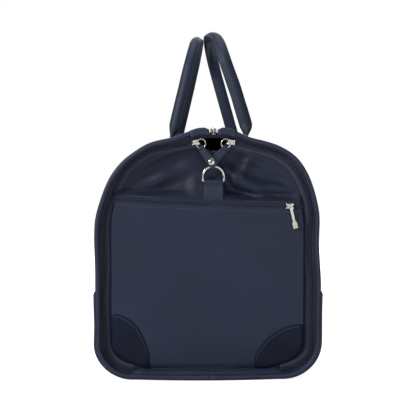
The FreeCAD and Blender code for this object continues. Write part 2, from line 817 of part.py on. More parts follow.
def strap_ring():
    """A D-ring: its straight side runs through the tab, and its bow leans back on the end panel."""
    half, leg, corner = RING_HALF, RING_LEG, RING_CORNER
    bend = corner * (1 - math.sqrt(0.5))
    edges = [
        Part.LineSegment(Vector(-half + corner, 0, 0), Vector(half - corner, 0, 0)),
        Part.Arc(
            Vector(half - corner, 0, 0), Vector(half - bend, 0, bend), Vector(half, 0, corner)
        ),
        Part.LineSegment(Vector(half, 0, corner), Vector(half, 0, leg)),
        Part.Arc(Vector(half, 0, leg), Vector(0, 0, leg + half), Vector(-half, 0, leg)),
        Part.LineSegment(Vector(-half, 0, leg), Vector(-half, 0, corner)),
        Part.Arc(
            Vector(-half, 0, corner), Vector(-half + bend, 0, bend), Vector(-half + corner, 0, 0)
        ),
    ]
    path = Part.Wire([edge.toShape() for edge in edges])
    section = Part.Wire([Part.makeCircle(RING_WIRE, Vector(-half + corner, 0, 0), X_AXIS)])
    ring = path.makePipeShell([section], True, False)
    bar = Vector(0, -TAPE_BACK - RING_STAND_OFF, RING_Z)
    return moved(turned(ring, -RING_LEAN, X_AXIS), *bar)


def end_parts(end, has_pocket):
    """An end panel with its half of the zip, corner patches and strap ring."""
    turn = 0 if end == "front" else 180
    panel = disc(PANEL_INSET, -TAPE_BACK, -TAPE_BACK + PANEL_THICKNESS)
    patch_back = POCKET_FRONT if has_pocket else -TAPE_BACK
    patches = [
        corner_patch(side, *size, patch_back - CORNER_PATCH_THICKNESS)
        for side, size in ((-1, LEFT_CORNER_PATCH), (1, RIGHT_CORNER_PATCH))
    ]
    nodes = {
        f"{end}_panel": [panel],
        f"{end}_zip_half": end_zip_half(),
        f"{end}_corner_patches": patches,
        f"{end}_ring_tab": [ring_tab()],
        f"{end}_strap_ring": [strap_ring()],
    }
    return {
        node: [turned(solid, turn, Z_AXIS) for solid in solids]
        for node, solids in nodes.items()
    }


def pocket_line(x):
    """Height of the middle of the pocket zip at x."""
    return POCKET_ZIP_Z - math.tan(math.radians(POCKET_SLOPE)) * x


def pocket_strip(above, below, y_low, y_high):
    """A straight strip along the pocket zip, between two distances above its middle."""
    strip = box((-POCKET_ZIP_HALF, y_low, below), (POCKET_ZIP_HALF, y_high, above))
    return moved(turned(strip, POCKET_SLOPE), 0, 0, POCKET_ZIP_Z)


def pocket_zip():
    """Both tapes and coils of the pocket zip, which lies flat across the front end."""
    solids = []
    tape_back = POCKET_TAPE_FACE + TAPE
    for sign in (-1, 1):
        low, high = sorted((sign * HALF_GAP, sign * (HALF_GAP + COIL_WIDTH)))
        solids.append(pocket_strip(high, low, POCKET_TAPE_FACE - COIL, POCKET_TAPE_FACE))
        low, high = sorted((sign * HALF_GAP, sign * POCKET_TAPE_HALF))
        solids.append(pocket_strip(high, low, POCKET_TAPE_FACE, tape_back))
    return solids


def bar_pull():
    """The pocket's pull in its own frame: it hangs from an eye round the X axis."""
    (neck_x, neck_y), (block_x, block_y) = BAR_PULL_NECK, BAR_PULL_BLOCK
    eye = torus(ORIGIN, X_AXIS, *BAR_PULL_EYE)
    neck = box((-neck_x, -neck_y, -BAR_PULL_BLOCK_TOP), (neck_x, neck_y, -BAR_PULL_NECK_TOP))
    block = box((-block_x, -block_y, -BAR_PULL_END), (block_x, block_y, -BAR_PULL_BLOCK_TOP))
    return union(eye, turned(union(neck, block), -BAR_PULL_TILT))


def pocket_parts():
    """The flat zipped pocket on the front end: its panel, zip, slider and bar pull."""
    reach = LENGTH
    below_edge = box((-reach, -reach, -reach), (reach, 0, -POCKET_EDGE_DROP))
    below_zip = moved(turned(below_edge, POCKET_SLOPE), 0, 0, POCKET_ZIP_Z)
    wall = disc(POCKET_INSET, POCKET_FRONT, -TAPE_BACK)
    hollow = disc(POCKET_INSET + POCKET_HEM, POCKET_TAPE_FACE, -TAPE_BACK)
    pocket = wall.cut(hollow).common(below_zip)
    at_x, at_z = POCKET_SLIDER_X, pocket_line(POCKET_SLIDER_X)
    slider = turned(turned(slider_body(), 90, X_AXIS), POCKET_SLOPE)
    pull = turned(bar_pull(), POCKET_SLOPE)
    return {
        "front_pocket_panel": [pocket],
        "front_pocket_zip": pocket_zip(),
        "front_pocket_slider": [moved(slider, at_x, POCKET_TAPE_FACE, at_z)],
        "front_pocket_pull": [moved(pull, at_x, POCKET_TAPE_FACE - CROWN_MIDDLE, at_z)],
    }


def all_parts():
    """Every node of the bag, each a list of solids."""
    parts = base_parts()
    for name, side in (("left", -1), ("right", 1)):
        parts.update(flap_parts(name, side))
        parts.update(handle_parts(name, side))
    parts.update(garment_strap())
    parts.update(hanger_parts())
    parts.update(top_slider_parts())
    for end in ("front", "rear"):
        parts.update(end_parts(end, end == "front"))
        parts.update(end_slider_parts(end))
    parts.update(pocket_parts())
    return parts


def main():
    os.makedirs("parts", exist_ok=True)
    for node, shapes in sorted(all_parts().items()):
        solids = [solid for shape in shapes for solid in shape.Solids]
        whole = solids[0] if len(solids) == 1 else Part.makeCompound(solids)
        whole.exportStep(f"parts/{node}.step")
        print(f"{node:28s} {len(solids)} solids, valid {whole.isValid()}, {whole.Volume / 1000:.2f} cm3")


main()
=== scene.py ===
import json
import math
from functools import partial

import bmesh
import bpy
from mathutils import Matrix, Vector, noise


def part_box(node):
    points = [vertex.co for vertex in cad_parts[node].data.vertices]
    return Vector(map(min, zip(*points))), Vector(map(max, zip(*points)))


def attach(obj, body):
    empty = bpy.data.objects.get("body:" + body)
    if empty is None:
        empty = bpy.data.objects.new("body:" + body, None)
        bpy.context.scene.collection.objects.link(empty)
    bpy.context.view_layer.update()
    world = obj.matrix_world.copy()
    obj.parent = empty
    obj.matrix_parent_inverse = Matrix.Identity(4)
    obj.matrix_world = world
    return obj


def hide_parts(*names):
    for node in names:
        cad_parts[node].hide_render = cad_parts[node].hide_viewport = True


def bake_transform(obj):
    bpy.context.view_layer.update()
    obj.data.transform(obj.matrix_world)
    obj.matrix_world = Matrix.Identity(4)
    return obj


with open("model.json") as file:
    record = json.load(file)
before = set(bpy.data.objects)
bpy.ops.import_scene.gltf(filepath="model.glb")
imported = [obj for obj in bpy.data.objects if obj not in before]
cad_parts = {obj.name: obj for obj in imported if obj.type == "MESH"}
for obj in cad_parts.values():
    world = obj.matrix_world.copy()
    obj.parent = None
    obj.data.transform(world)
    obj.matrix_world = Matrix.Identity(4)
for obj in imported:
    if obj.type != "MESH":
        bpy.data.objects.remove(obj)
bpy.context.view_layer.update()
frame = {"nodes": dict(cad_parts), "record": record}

MM = 0.001
X, Y, Z = Vector((1, 0, 0)), Vector((0, 1, 0)), Vector((0, 0, 1))
SIDES = (("left", -1), ("right", 1))
ENDS = (("front", -1), ("rear", 1))

# ---- sizes from the frame, and the radii of the outline, in metres ----

HALF_WIDTH, WRAP_END, CORNER_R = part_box("base_panel")[1]
HALF_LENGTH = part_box("base_edge_binding")[1].y
FLOOR_HALF = HALF_WIDTH - CORNER_R
SIDE_TOP, SHOULDER_R, TOP_R = 0.195, 0.110, 0.172
SHOULDER_X = HALF_WIDTH - SHOULDER_R
TOP_CENTRE_Z = SIDE_TOP - math.sqrt((TOP_R - SHOULDER_R) ** 2 - SHOULDER_X**2)
JUNCTION = math.acos(SHOULDER_X / (TOP_R - SHOULDER_R))
COVER_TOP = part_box("left_lower_cover")[1].z
CHAIN_INSET = 12.3 * MM
POCKET_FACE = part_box("front_pocket_panel")[0].y
POCKET_TAPE_FACE = POCKET_FACE + 1.4 * MM
POCKET_SLOPE = math.radians(2.3)
POCKET_ZIP_Z = sum(corner.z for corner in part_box("front_pocket_zip")) / 2

# The right half of the outline: the length of each stretch, with a line's start and direction, or with an
# arc's centre and radius and its first angle
SEGMENTS = (
    (FLOOR_HALF, (0.0, 0.0), (1.0, 0.0)),
    (CORNER_R * math.pi / 2, (FLOOR_HALF, CORNER_R, CORNER_R), -math.pi / 2),
    (SIDE_TOP - CORNER_R, (HALF_WIDTH, CORNER_R), (0.0, 1.0)),
    (SHOULDER_R * JUNCTION, (SHOULDER_X, SIDE_TOP, SHOULDER_R), 0.0),
    (TOP_R * (math.pi / 2 - JUNCTION), (0.0, TOP_CENTRE_Z, TOP_R), JUNCTION),
)
CORNER_END = SEGMENTS[0][0] + SEGMENTS[1][0]
HALF_ROUND = sum(segment[0] for segment in SEGMENTS)
COVER_END = CORNER_END + COVER_TOP - CORNER_R
ZIP_FOOT = 0.092

# How the soft bag departs from its drawn outline
LEAN = 3.6 * MM
TOP_SWAY = 3.4 * MM
CREST = 4.4 * MM
ZIP_RISE = 1.2 * MM
FULL_SHOULDER = 4.6 * MM
SWELL = 3.2 * MM
FLOOR_BOW = 1.6 * MM
UPPER_SINK = 5.6 * MM
FOOT_SINK = 3.0 * MM
FOOT_DROP = 7.5 * MM
TAB_SHIFT = 7.0 * MM
LEG_BOW = 9.0 * MM
MOUTH = 19.5 * MM
MOUTH_DIP = 12 * MM


def steps(low, high, size):
    """Evenly spaced values from low to high, about size apart."""
    count = max(1, round(abs(high - low) / size))
    return [low + (high - low) * k / count for k in range(count + 1)]


def arc(first, last, step):
    """Cosine and sine of every so many degrees, from the first angle to just before the last."""
    return [(math.cos(math.radians(a)), math.sin(math.radians(a))) for a in range(first, last, step)]


def smooth(t):
    """Smooth step from 0 to 1."""
    t = min(1.0, max(0.0, t))
    return t * t * (3 - 2 * t)


def rumple(p, scale, seed):
    """Smooth noise from -1 to 1 that depends on the place."""
    return noise.noise(Vector(p) * scale + Vector((seed * 7.3, seed * 3.1, seed * 1.7)))


def outline(s):
    """Point (x, z) and outward normal at arc length s from the middle of the floor, on the right half."""
    at = 0.0
    for length, start, heading in SEGMENTS:
        if s <= at + length or at + length > HALF_ROUND - 0.001 * MM:
            break
        at += length
    if len(start) == 2:
        return start[0] + heading[0] * (s - at), start[1] + heading[1] * (s - at), heading[1], -heading[0]
    x, z, radius = start
    angle = heading + (s - at) / radius
    nx, nz = math.cos(angle), math.sin(angle)
    return x + radius * nx, z + radius * nz, nx, nz


def on_wrap(side, s, inset, y):
    """A point of the wrap, and its outward normal. side is -1 for left; s may pass zero or the top."""
    if s > HALF_ROUND:
        side, s = -side, 2 * HALF_ROUND - s
    s = abs(s)
    x, z, nx, nz = outline(s)
    inset = inset - slack(side, s) - crest(s) * smooth((11 * MM - inset) / (6 * MM))
    point = Vector((side * (x - inset * nx), y, z - inset * nz))
    point.x += LEAN * smooth((point.z - 0.19) / 0.11) + TOP_SWAY * smooth(1.3 - abs(point.x) / 0.05)
    return point, Vector((side * nx, 0, nz))


def crest(s):
    """How far the outer layers rise beside the top zip, which lies in a shallow gutter."""
    gutter = 1 - (1 - ZIP_RISE / CREST) * smooth((s - HALF_ROUND + 0.012) / 0.008)
    return CREST * smooth((s - HALF_ROUND + 0.055) / 0.040) * gutter


def slack(side, s):
    """How far the soft wrap stands out from the drawn outline: full shoulders, uneven sides."""
    shoulder = FULL_SHOULDER * smooth((s - 0.345) / 0.075) * smooth((0.480 - s) / 0.045)
    sag = -0.5 * MM * smooth((s - 0.250) / 0.06) * smooth((0.385 - s) / 0.05)
    uneven = smooth((s - 0.150) / 0.06) * smooth((0.470 - s) / 0.05)
    ripple = 0.9 * MM * math.sin(s * 31 + side * 1.3) + 0.5 * MM * math.sin(s * 74 + side * 2.1)
    return shoulder + sag + uneven * ripple


# ---- meshes ----


def new_object(name, vertices, faces, material, uvs=None, flat=False):
    mesh = bpy.data.meshes.new(name)
    mesh.from_pydata([tuple(v) for v in vertices], [], faces)
    if uvs:
        layer = mesh.uv_layers.new(name="metres")
        for loop in mesh.loops:
            layer.data[loop.index].uv = uvs[loop.vertex_index]
    mesh.validate()
    work = bmesh.new()
    work.from_mesh(mesh)
    bmesh.ops.recalc_face_normals(work, faces=work.faces)
    work.to_mesh(mesh)
    work.free()
    for polygon in mesh.polygons:
        polygon.use_smooth = not flat
    mesh.materials.append(material)
    piece = bpy.data.objects.new(name, mesh)
    bpy.context.collection.objects.link(piece)
    return piece


def crease(piece, angle=40):
    """Sharp shading across edges that turn more than this many degrees."""
    work = bmesh.new()
    work.from_mesh(piece.data)
    for edge in work.edges:
        if len(edge.link_faces) == 2 and edge.calc_face_angle() > math.radians(angle):
            edge.smooth = False
    work.to_mesh(piece.data)
    work.free()
    return piece


def joined(name, pieces):
    """One object from several closed ones."""
    work = bmesh.new()
    for piece in pieces:
        work.from_mesh(piece.data)
    mesh = bpy.data.meshes.new(name)
    work.to_mesh(mesh)
    work.free()
    mesh.materials.append(pieces[0].data.materials[0])
    whole = bpy.data.objects.new(name, mesh)
    bpy.context.collection.objects.link(whole)
    for piece in pieces:
        bpy.data.objects.remove(piece)
    return whole


def slab(name, us, vs, shape, material):
    """A closed sheet with thickness: shape(u, v) gives its outer and inner point. UVs are in metres."""
    columns, rows = len(us), len(vs)
    grid = [(u, v) for u in us for v in vs]
    vertices = [shape(u, v)[layer] for layer in (0, 1) for u, v in grid]

    def at(i, j, layer):
        return layer * columns * rows + i * rows + j

    faces = []
    for i in range(columns - 1):
        for j in range(rows - 1):
            for layer in (0, 1):
                quad = [at(i, j, layer), at(i + 1, j, layer), at(i + 1, j + 1, layer), at(i, j + 1, layer)]
                faces.append(quad[::-1] if layer else quad)
    for i in range(columns - 1):
        for j in (0, rows - 1):
            faces.append([at(i, j, 0), at(i + 1, j, 0), at(i + 1, j, 1), at(i, j, 1)])
    for j in range(rows - 1):
        for i in (0, columns - 1):
            faces.append([at(i, j, 0), at(i, j + 1, 0), at(i, j + 1, 1), at(i, j, 1)])
    return new_object(name, vertices, faces, material, grid * 2)


def band(first, second, size):
    """The quads between two closed rings of vertices."""
    return [[first + m, first + (m + 1) % size, second + (m + 1) % size, second + m] for m in range(size)]


def leaf(name, border, centre, rings, point, material):
    """A closed leaf over a border of (a, b) points: rings of (share of the way out, height) on both faces.
    point(q, share, height, outer) puts a spot of the outer or the inner face in space."""
    vertices, uvs, faces = [], [], []
    size = len(border)
    for outer in (True, False):
        for share, height in rings + [(0.0, 1.0)]:
            for p in border if share else [centre]:
                q = centre + (p - centre) * share
                vertices.append(point(q, share, height, outer))
                uvs.append(tuple(q))
    span = len(rings) * size + 1
    for first in (0, span):
        for k in range(len(rings) - 1):
            faces += band(first + k * size, first + (k + 1) * size, size)
        last = first + (len(rings) - 1) * size
        faces += [[last + m, last + (m + 1) % size, first + span - 1] for m in range(size)]
    return new_object(name, vertices, faces + band(0, span, size), material, uvs)


def plate(name, border, thickness, place, material, crown=0.0, edge=0.6 * MM):
    """A leaf of even thickness with rounded edges over a convex border. place(a, b, h) puts it in space."""
    centre = sum(border, Vector((0, 0))) / len(border)
    reach = min((p - centre).length for p in border)
    flat = 1 - edge / reach
    count = max(3, round(reach / (4 * MM)))
    rings = [(1.0, 0.5), (1 - 0.35 * edge / reach, 0.82), (flat, 1.0)]
    rings += [(flat * (count - k) / count, 1.0) for k in range(1, count)]

    def point(q, share, height, outer):
        rise = thickness * height + crown * (1 - share**2) if outer else thickness * (1 - height)
        return place(q.x, q.y, rise)

    return leaf(name, border, centre, rings, point, material)


def sweep(name, frames, section, material, closed=False):
    """Carries a closed section along frames of (origin, across, up). section(k) gives (across, up) points."""
    vertices, uvs, faces = [], [], []
    along = 0.0
    for k, (origin, across, up) in enumerate(frames):
        if k:
            along += (origin - frames[k - 1][0]).length
        for m, (a, b) in enumerate(section(k)):
            vertices.append(origin + across * a + up * b)
            uvs.append((along, m * 2 * MM))
    size = len(section(0))
    rings = len(frames)
    for k in range(rings if closed else rings - 1):
        faces += band(k * size, (k + 1) % rings * size, size)
    if not closed:
        faces.append(list(range(size))[::-1])
        faces.append(list(range((rings - 1) * size, rings * size)))
    return new_object(name, vertices, faces, material, uvs)


def path_frames(points, across, closed=False):
    """Frames for a sweep along a path in the plane square to one axis."""
    count = len(points)
    frames = []
    for k, p in enumerate(points):
        if closed:
            before, after = points[k - 1], points[(k + 1) % count]
        else:
            before, after = points[max(0, k - 1)], points[min(count - 1, k + 1)]
        frames.append((p, across, (after - before).normalized().cross(across)))
    return frames


def ring_shape(name, centre, radius, wire):
    """A closed level ring of round wire."""
    frames = []
    for c, s in arc(0, 360, 9):
        out = X * c + Y * s
        frames.append((centre + out * radius, out, Z))
    return sweep(name, frames, lambda k: oval(2 * wire, 2 * wire), NICKEL, closed=True)


def oval(width, height, count=12, power=2.0):
    """Points of a closed rounded section; a higher power makes it squarer."""
    points = []
    for k in range(count):
        c, s = math.cos(2 * math.pi * k / count), math.sin(2 * math.pi * k / count)
        points.append((width / 2 * rounded(c, power), height / 2 * rounded(s, power)))
    return points


def rounded(value, power):
    """A sine or cosine bent towards a squarer curve."""
    return math.copysign(abs(value) ** (2 / power), value)


def turned(profile, sides):
    """Vertices (along, across, up) and faces of a round solid from its profile of (along, radius)."""
    vertices, faces, rings = [], [], []
    for along, radius in profile:
        count = sides if radius else 1
        rings.append(list(range(len(vertices), len(vertices) + count)))
        for k in range(count):
            angle = 2 * math.pi * k / sides
            vertices.append((along, radius * math.cos(angle), radius * math.sin(angle)))
    for a, b in zip(rings, rings[1:]):
        for k in range(sides):
            quad = [a[k % len(a)], a[(k + 1) % len(a)], b[(k + 1) % len(b)], b[k % len(b)]]
            faces.append(list(dict.fromkeys(quad)))
    return vertices, faces


def spindle(length, radius, shares):
    """A small rounded bar along its x axis, from shares of its length and radius."""
    return turned([(x * length, r * radius) for x, r in shares], 6)


def many(name, places, unit, material):
    """One object from many copies of a small unit mesh, each at an (origin, x, y, z) frame."""
    vertices, faces = [], []
    for origin, x_axis, y_axis, z_axis in places:
        faces += [[len(vertices) + k for k in face] for face in unit[1]]
        vertices += [origin + x_axis * a + y_axis * b + z_axis * c for a, b, c in unit[0]]
    return new_object(name, vertices, faces, material)


def resample(points, pitch):
    """Points along a polyline a fixed pitch apart, with directions."""
    found = []
    left = pitch / 2
    for a, b in zip(points, points[1:]):
        length = (b - a).length
        if length < 1e-6 * MM:
            continue
        direction = (b - a) / length
        while left <= length:
            found.append((a + direction * left, direction))
            left += pitch
        left -= length
    return found


STITCH_SHAPE = ((-0.5, 0), (-0.42, 0.7), (-0.2, 1), (0.2, 1), (0.42, 0.7), (0.5, 0))
TOOTH_SHAPE = ((-0.5, 0), (-0.46, 0.75), (-0.25, 1), (0.25, 0.9), (0.46, 0.6), (0.5, 0))
STITCH = spindle(2.1 * MM, 0.42 * MM, STITCH_SHAPE)
TOOTH = spindle(3.3 * MM, 0.62 * MM, TOOTH_SHAPE)
STITCH_PITCH = 3.2 * MM
TOOTH_PITCH = 2.0 * MM
STITCH_SLANT = 0.10


def stitches(name, points, normal, lift=0.15 * MM, pitch=STITCH_PITCH, yarn=None):
    """A row of thread stitches along a polyline that lies on a surface with this outward normal."""
    places = []
    for place, direction in resample(points, pitch):
        out = normal(place) if callable(normal) else normal
        slant = (direction + out.cross(direction).normalized() * STITCH_SLANT).normalized()
        places.append((place + out * lift, slant, out.cross(slant), out))
    return many(name, places, STITCH, yarn or THREAD)


# ---- materials ----


class Nodes:
    """Builds one material's nodes. Plain values go straight on the shader's sockets."""

    def __init__(self, name, colour, **sockets):
        self.material = bpy.data.materials.new(name)
        self.material.use_nodes = True
        self.tree = self.material.node_tree
        self.shader = self.tree.nodes["Principled BSDF"]
        self.colour = colour
        self.shader.inputs["Base Color"].default_value = (*colour, 1)
        for socket, value in sockets.items():
            self.shader.inputs[socket.replace("_", " ")].default_value = value
        self.normal = None

    def add(self, kind, inputs, result=0, **settings):
        """A new node; gives the socket of its result."""
        node = self.tree.nodes.new("ShaderNode" + kind)
        for key, value in settings.items():
            setattr(node, key, value)
        for key, value in inputs.items():
            if isinstance(value, bpy.types.NodeSocket):
                self.tree.links.new(value, node.inputs[key])
            else:
                node.inputs[key].default_value = value
        return node.outputs[result]

    def link(self, socket, name):
        self.tree.links.new(socket, self.shader.inputs[name])

    def place(self, scale=(1, 1, 1), turn=0.0, uv=False):
        source = self.add("TexCoord", {}, "UV" if uv else "Object")
        return self.add("Mapping", {"Vector": source, "Scale": scale, "Rotation": (0, 0, turn)})

    def math(self, operation, a, b):
        return self.add("Math", {0: a, 1: b}, operation=operation)

    def sum(self, a, a_share, b, b_share):
        """Two signals added in shares."""
        a = a if a_share == 1 else self.math("MULTIPLY", a, a_share)
        return self.math("ADD", a, self.math("MULTIPLY", b, b_share))

    def noise(self, vector, scale, detail=3.0, rough=0.5):
        inputs = {"Vector": vector, "Scale": scale, "Detail": detail, "Roughness": rough}
        return self.add("TexNoise", inputs, "Fac")

    def bands(self, vector, pitch, axis="X"):
        """Waves a pitch apart along an axis."""
        inputs = {"Vector": vector, "Scale": 0.314 / pitch, "Distortion": 0.0}
        return self.add("TexWave", inputs, "Fac", wave_type="BANDS", bands_direction=axis)

    def tint(self, factor, *stops):
        """Shades the base colour by a ramp of (position, brightness)."""
        node = self.add("ValToRGB", {"Fac": factor}).node
        ramp = node.color_ramp
        while len(ramp.elements) < len(stops):
            ramp.elements.new(0.5)
        for element, (position, brightness) in zip(ramp.elements, stops):
            element.position = position
            element.color = (*shade(self.colour, brightness), 1)
        self.link(node.outputs["Color"], "Base Color")

    def range(self, value, low, high):
        return self.add("MapRange", {"Value": value, "To Min": low, "To Max": high}, "Result")

    def roughen(self, value, low, high):
        self.link(self.range(value, low, high), "Roughness")

    def bump(self, height, strength, distance):
        """Raises the surface by a signal, on top of any earlier bump."""
        inputs = {"Height": height, "Strength": strength, "Distance": distance}
        if self.normal is not None:
            inputs["Normal"] = self.normal
        self.normal = self.add("Bump", inputs, "Normal")
        self.link(self.normal, "Normal")


def shade(colour, factor):
    return tuple(c * factor for c in colour)


def woven(name, colour, pitch=0.8 * MM, gloss=0.50):
    """Twill: diagonal ribs crossed by a finer weft, with cloudy shifts of tone."""
    n = Nodes(name, colour, Roughness=gloss, Sheen_Weight=0.05, Sheen_Roughness=0.45, Specular_IOR_Level=0.30)
    n.shader.inputs["Sheen Tint"].default_value = (0.45, 0.5, 0.75, 1)
    slant = math.radians(63)
    flat = n.place(uv=True)
    cloud = n.noise(flat, 9.0, 4.0, 0.55)
    fibre = n.noise(n.place((1, 0.25, 1), uv=True), 1400.0, 2.0)
    n.tint(n.sum(cloud, 0.75, fibre, 0.25), (0.30, 0.80), (0.52, 1), (0.74, 1.28))
    n.roughen(cloud, gloss - 0.07, gloss + 0.08)
    ribs = n.bands(n.place(turn=slant, uv=True), pitch)
    weft = n.bands(n.place(turn=slant + math.pi / 2, uv=True), pitch / 0.8)
    n.bump(n.sum(ribs, 1, weft, 0.5), 0.30, 0.12 * MM)
    n.bump(n.noise(flat, 60.0, 3.0), 0.25, 0.5 * MM)
    return n.material


def leather(name, colour, grain=1.0, gloss=0.46):
    """Coated leather: pebbled grain, fine pores, and a lighter tone along sharp convex edges."""
    n = Nodes(name, colour, Roughness=gloss, Specular_IOR_Level=0.33, Coat_Weight=0.03, Coat_Roughness=0.35)
    place = n.place()
    inputs = {"Vector": place, "Scale": 950.0 / grain}
    pebbles = n.add("TexVoronoi", inputs, "Distance", feature="DISTANCE_TO_EDGE")
    cloud = n.noise(place, 22.0, 4.0, 0.6)
    # Sharp convex edges, found by pointiness, are made lighter.
    edges = n.math("GREATER_THAN", n.add("NewGeometry", {}, "Pointiness"), 0.54)
    convex_edges_lighter = n.range(edges, 0.0, 0.25)
    n.tint(n.math("ADD", cloud, convex_edges_lighter), (0.30, 0.82), (0.55, 1), (0.95, 1.55))
    n.roughen(n.noise(place, 120.0, 2.0), gloss - 0.06, gloss + 0.08)
    n.bump(pebbles, 0.35, 0.16 * MM)
    n.bump(n.noise(place, 85.0, 3.0), 0.20, 0.4 * MM)
    return n.material


def cross_grain(name, colour):
    """Leather pressed with fine diagonal hatching, as on the corner patches."""
    n = Nodes(name, colour, Roughness=0.55, Specular_IOR_Level=0.14)
    place = n.place((1, 0, 1))
    hatch = n.bands(n.place((1, 0, 1.6)), 1.5 * MM, "DIAGONAL")
    n.tint(n.noise(place, 30.0, 4.0), (0.3, 0.8), (0.7, 1.25))
    n.bump(hatch, 0.35, 0.18 * MM)
    n.bump(n.noise(place, 700.0, 2.0), 0.3, 0.12 * MM)
    return n.material


def ribbed(name, colour, pitch):
    """Woven tape or webbing with ribs along its length."""
    n = Nodes(name, colour, Roughness=0.62, Sheen_Weight=0.08, Sheen_Roughness=0.5, Specular_IOR_Level=0.25)
    place = n.place(uv=True)
    ribs = n.bands(place, pitch, "Y")
    picks = n.bands(place, pitch * 0.7)
    n.tint(n.sum(ribs, 0.5, n.noise(place, 140.0, 3.0), 0.5), (0.2, 0.72), (0.8, 1.3))
    n.bump(n.sum(ribs, 1, picks, 0.4), 0.5, 0.15 * MM)
    return n.material


def moulded(name, colour, gloss):
    """Nylon coil, buckle, board or foam with a fine matte texture."""
    n = Nodes(name, colour, Roughness=gloss, Specular_IOR_Level=0.5)
    place = n.place()
    cloud = n.noise(place, 180.0, 3.0)
    n.tint(cloud, (0.3, 0.8), (0.7, 1.25))
    n.roughen(cloud, gloss - 0.06, gloss + 0.1)
    n.bump(n.noise(place, 2200.0, 2.0), 0.2, 0.05 * MM)
    return n.material


def plated(name, colour):
    """Polished nickel with faint polishing marks and dulled patches."""
    n = Nodes(name, colour, Metallic=1.0, Roughness=0.2)
    place = n.place()
    marks = n.noise(n.place((1, 1, 12)), 900.0, 3.0, 0.6)
    patches = n.noise(place, 160.0, 3.0)
    n.tint(patches, (0.3, 0.82), (0.7, 1.08))
    n.roughen(n.math("MULTIPLY", marks, patches), 0.10, 0.42)
    n.bump(marks, 0.08, 0.03 * MM)
    return n.material


def thread(name, colour):
    """Twisted sewing thread."""
    n = Nodes(name, colour, Roughness=0.55, Specular_IOR_Level=0.3)
    twist = n.bands(n.place(turn=0.6), 0.45 * MM, "DIAGONAL")
    n.tint(twist, (0.2, 0.75), (0.8, 1.2))
    n.bump(twist, 0.4, 0.08 * MM)
    return n.material


NAVY = (0.0152, 0.0222, 0.0515)
TRIM_NAVY = (0.0190, 0.0270, 0.0570)
TAPE_DUSK = (0.0400, 0.0400, 0.0720)
TWILL = woven("navy_twill", NAVY)
# The end panels' twill is a darker copy of the navy twill: painted shade of the recess inside the rims.
TWILL_PAINTED_SHADE = woven("navy_twill_painted_shade", shade(NAVY, 0.76), gloss=0.54)
TRIM = leather("navy_trim_leather", TRIM_NAVY)
COVER = leather("navy_cover_leather", shade(TRIM_NAVY, 0.8), grain=1.3, gloss=0.5)
# Handle leather with its own grain and gloss; its tone, a touch lighter than the trim, is painted top light
# on the handles.
GRIP_PAINTED_LIGHT = leather("navy_handle_leather_painted_light", shade(TRIM_NAVY, 1.05), grain=0.9, gloss=0.54)
PATCH = cross_grain("navy_patch_leather", shade(NAVY, 0.48))
TAPE = ribbed("dusky_zip_tape", TAPE_DUSK, 0.9 * MM)
# The coil is a quarter darker than its tape: painted shade of the gap between the two tapes.
COIL_PAINTED_SHADE = moulded("zip_coil_painted_shade", shade(TAPE_DUSK, 0.75), 0.45)
LINING = woven("navy_lining", (0.020, 0.026, 0.054), 0.5 * MM, 0.38)
WEBBING = ribbed("dark_webbing", (0.008, 0.009, 0.016), 1.6 * MM)
BLACK = moulded("black_moulding", (0.010, 0.010, 0.012), 0.45)
BOARD = moulded("black_board", (0.012, 0.012, 0.012), 0.6)
FILLER = moulded("foam_filler", (0.35, 0.35, 0.33), 0.8)
NICKEL = plated("polished_nickel", (0.70, 0.67, 0.63))
THREAD = thread("navy_thread", (0.066, 0.090, 0.140))
DARK_THREAD = thread("dark_navy_thread", (0.030, 0.038, 0.066))

# ---- surfaces of the bag ----

PANEL_CENTRE = Vector((0.0, 0.150))
PANEL_PLANE = WRAP_END - 0.8 * MM
PANEL_INSET, PANEL_THICK = 17.4 * MM, 1.0 * MM
POCKET_INSET, POCKET_THICK = 19.2 * MM, 1.2 * MM
PATCH_INSET = 20.5 * MM
POCKET_LIP = 1.6 * MM
TAPE_THICK = 0.8 * MM
# The edges of the end tapes under the outline, at the chain and away from it
OUTER_CHAIN, OUTER_FAR = 12.1 * MM, 5.0 * MM
INNER_CHAIN, INNER_FAR = 12.5 * MM, 18.6 * MM
# How far the outer tape moves out and back where the mouth is open
MOUTH_WIDER, MOUTH_BACK = 3.6 * MM, 7.0 * MM
PIPE_WIDE, PIPE_DEEP = 6.6 * MM, 13.2 * MM


def swell(y, s, side):
    """Outward swelling and rumpling of the padded wrap between its two bound ends."""
    free = smooth((0.250 - abs(y)) / 0.07)
    body = SWELL * smooth((abs(s) - 0.100) / 0.10) * smooth((0.455 - abs(s)) / 0.10)
    body = body * math.cos(y / HALF_LENGTH * math.pi / 2) ** 0.6 if free else 0.0
    place = (y, s * 1.6 * side, 0)
    waves = 1.5 * MM * rumple(place, 9.0, 2 + side) + 0.7 * MM * rumple(place, 26.0, 5 + side)
    sides_only = smooth((s - 0.060) / 0.08) * (0.25 + 0.75 * smooth((0.400 - s) / 0.10))
    return body * free + waves * free * sides_only


def front_bow(x, y):
    """The front and rear edges of the floor lift a little towards the corners."""
    return FLOOR_BOW * min(1.0, abs(x) / 0.088) ** 2 * smooth((abs(y) - 0.246) / 0.020)


def wrapped(side, s, inset, y):
    """A point of the wrap with the floor's bow."""
    point, normal = on_wrap(side, s, inset, y)
    point.z += front_bow(point.x, y) * smooth((0.070 - point.z) / 0.060)
    return point, normal


def layers(side, s, y, *insets):
    """Points of the wrap one above the other."""
    return tuple(wrapped(side, s, inset, y)[0] for inset in insets)


def wander(side, s):
    """How far an end zip strays from its drawn line: a soft zip never lies quite even."""
    free = smooth((s - ZIP_FOOT - 0.02) / 0.04) * smooth((HALF_ROUND - 0.045 - s) / 0.03)
    return free * MM * (1.0 * math.sin(s * 27 + side * 1.1) + 0.6 * math.sin(s * 61 + side * 2.3))


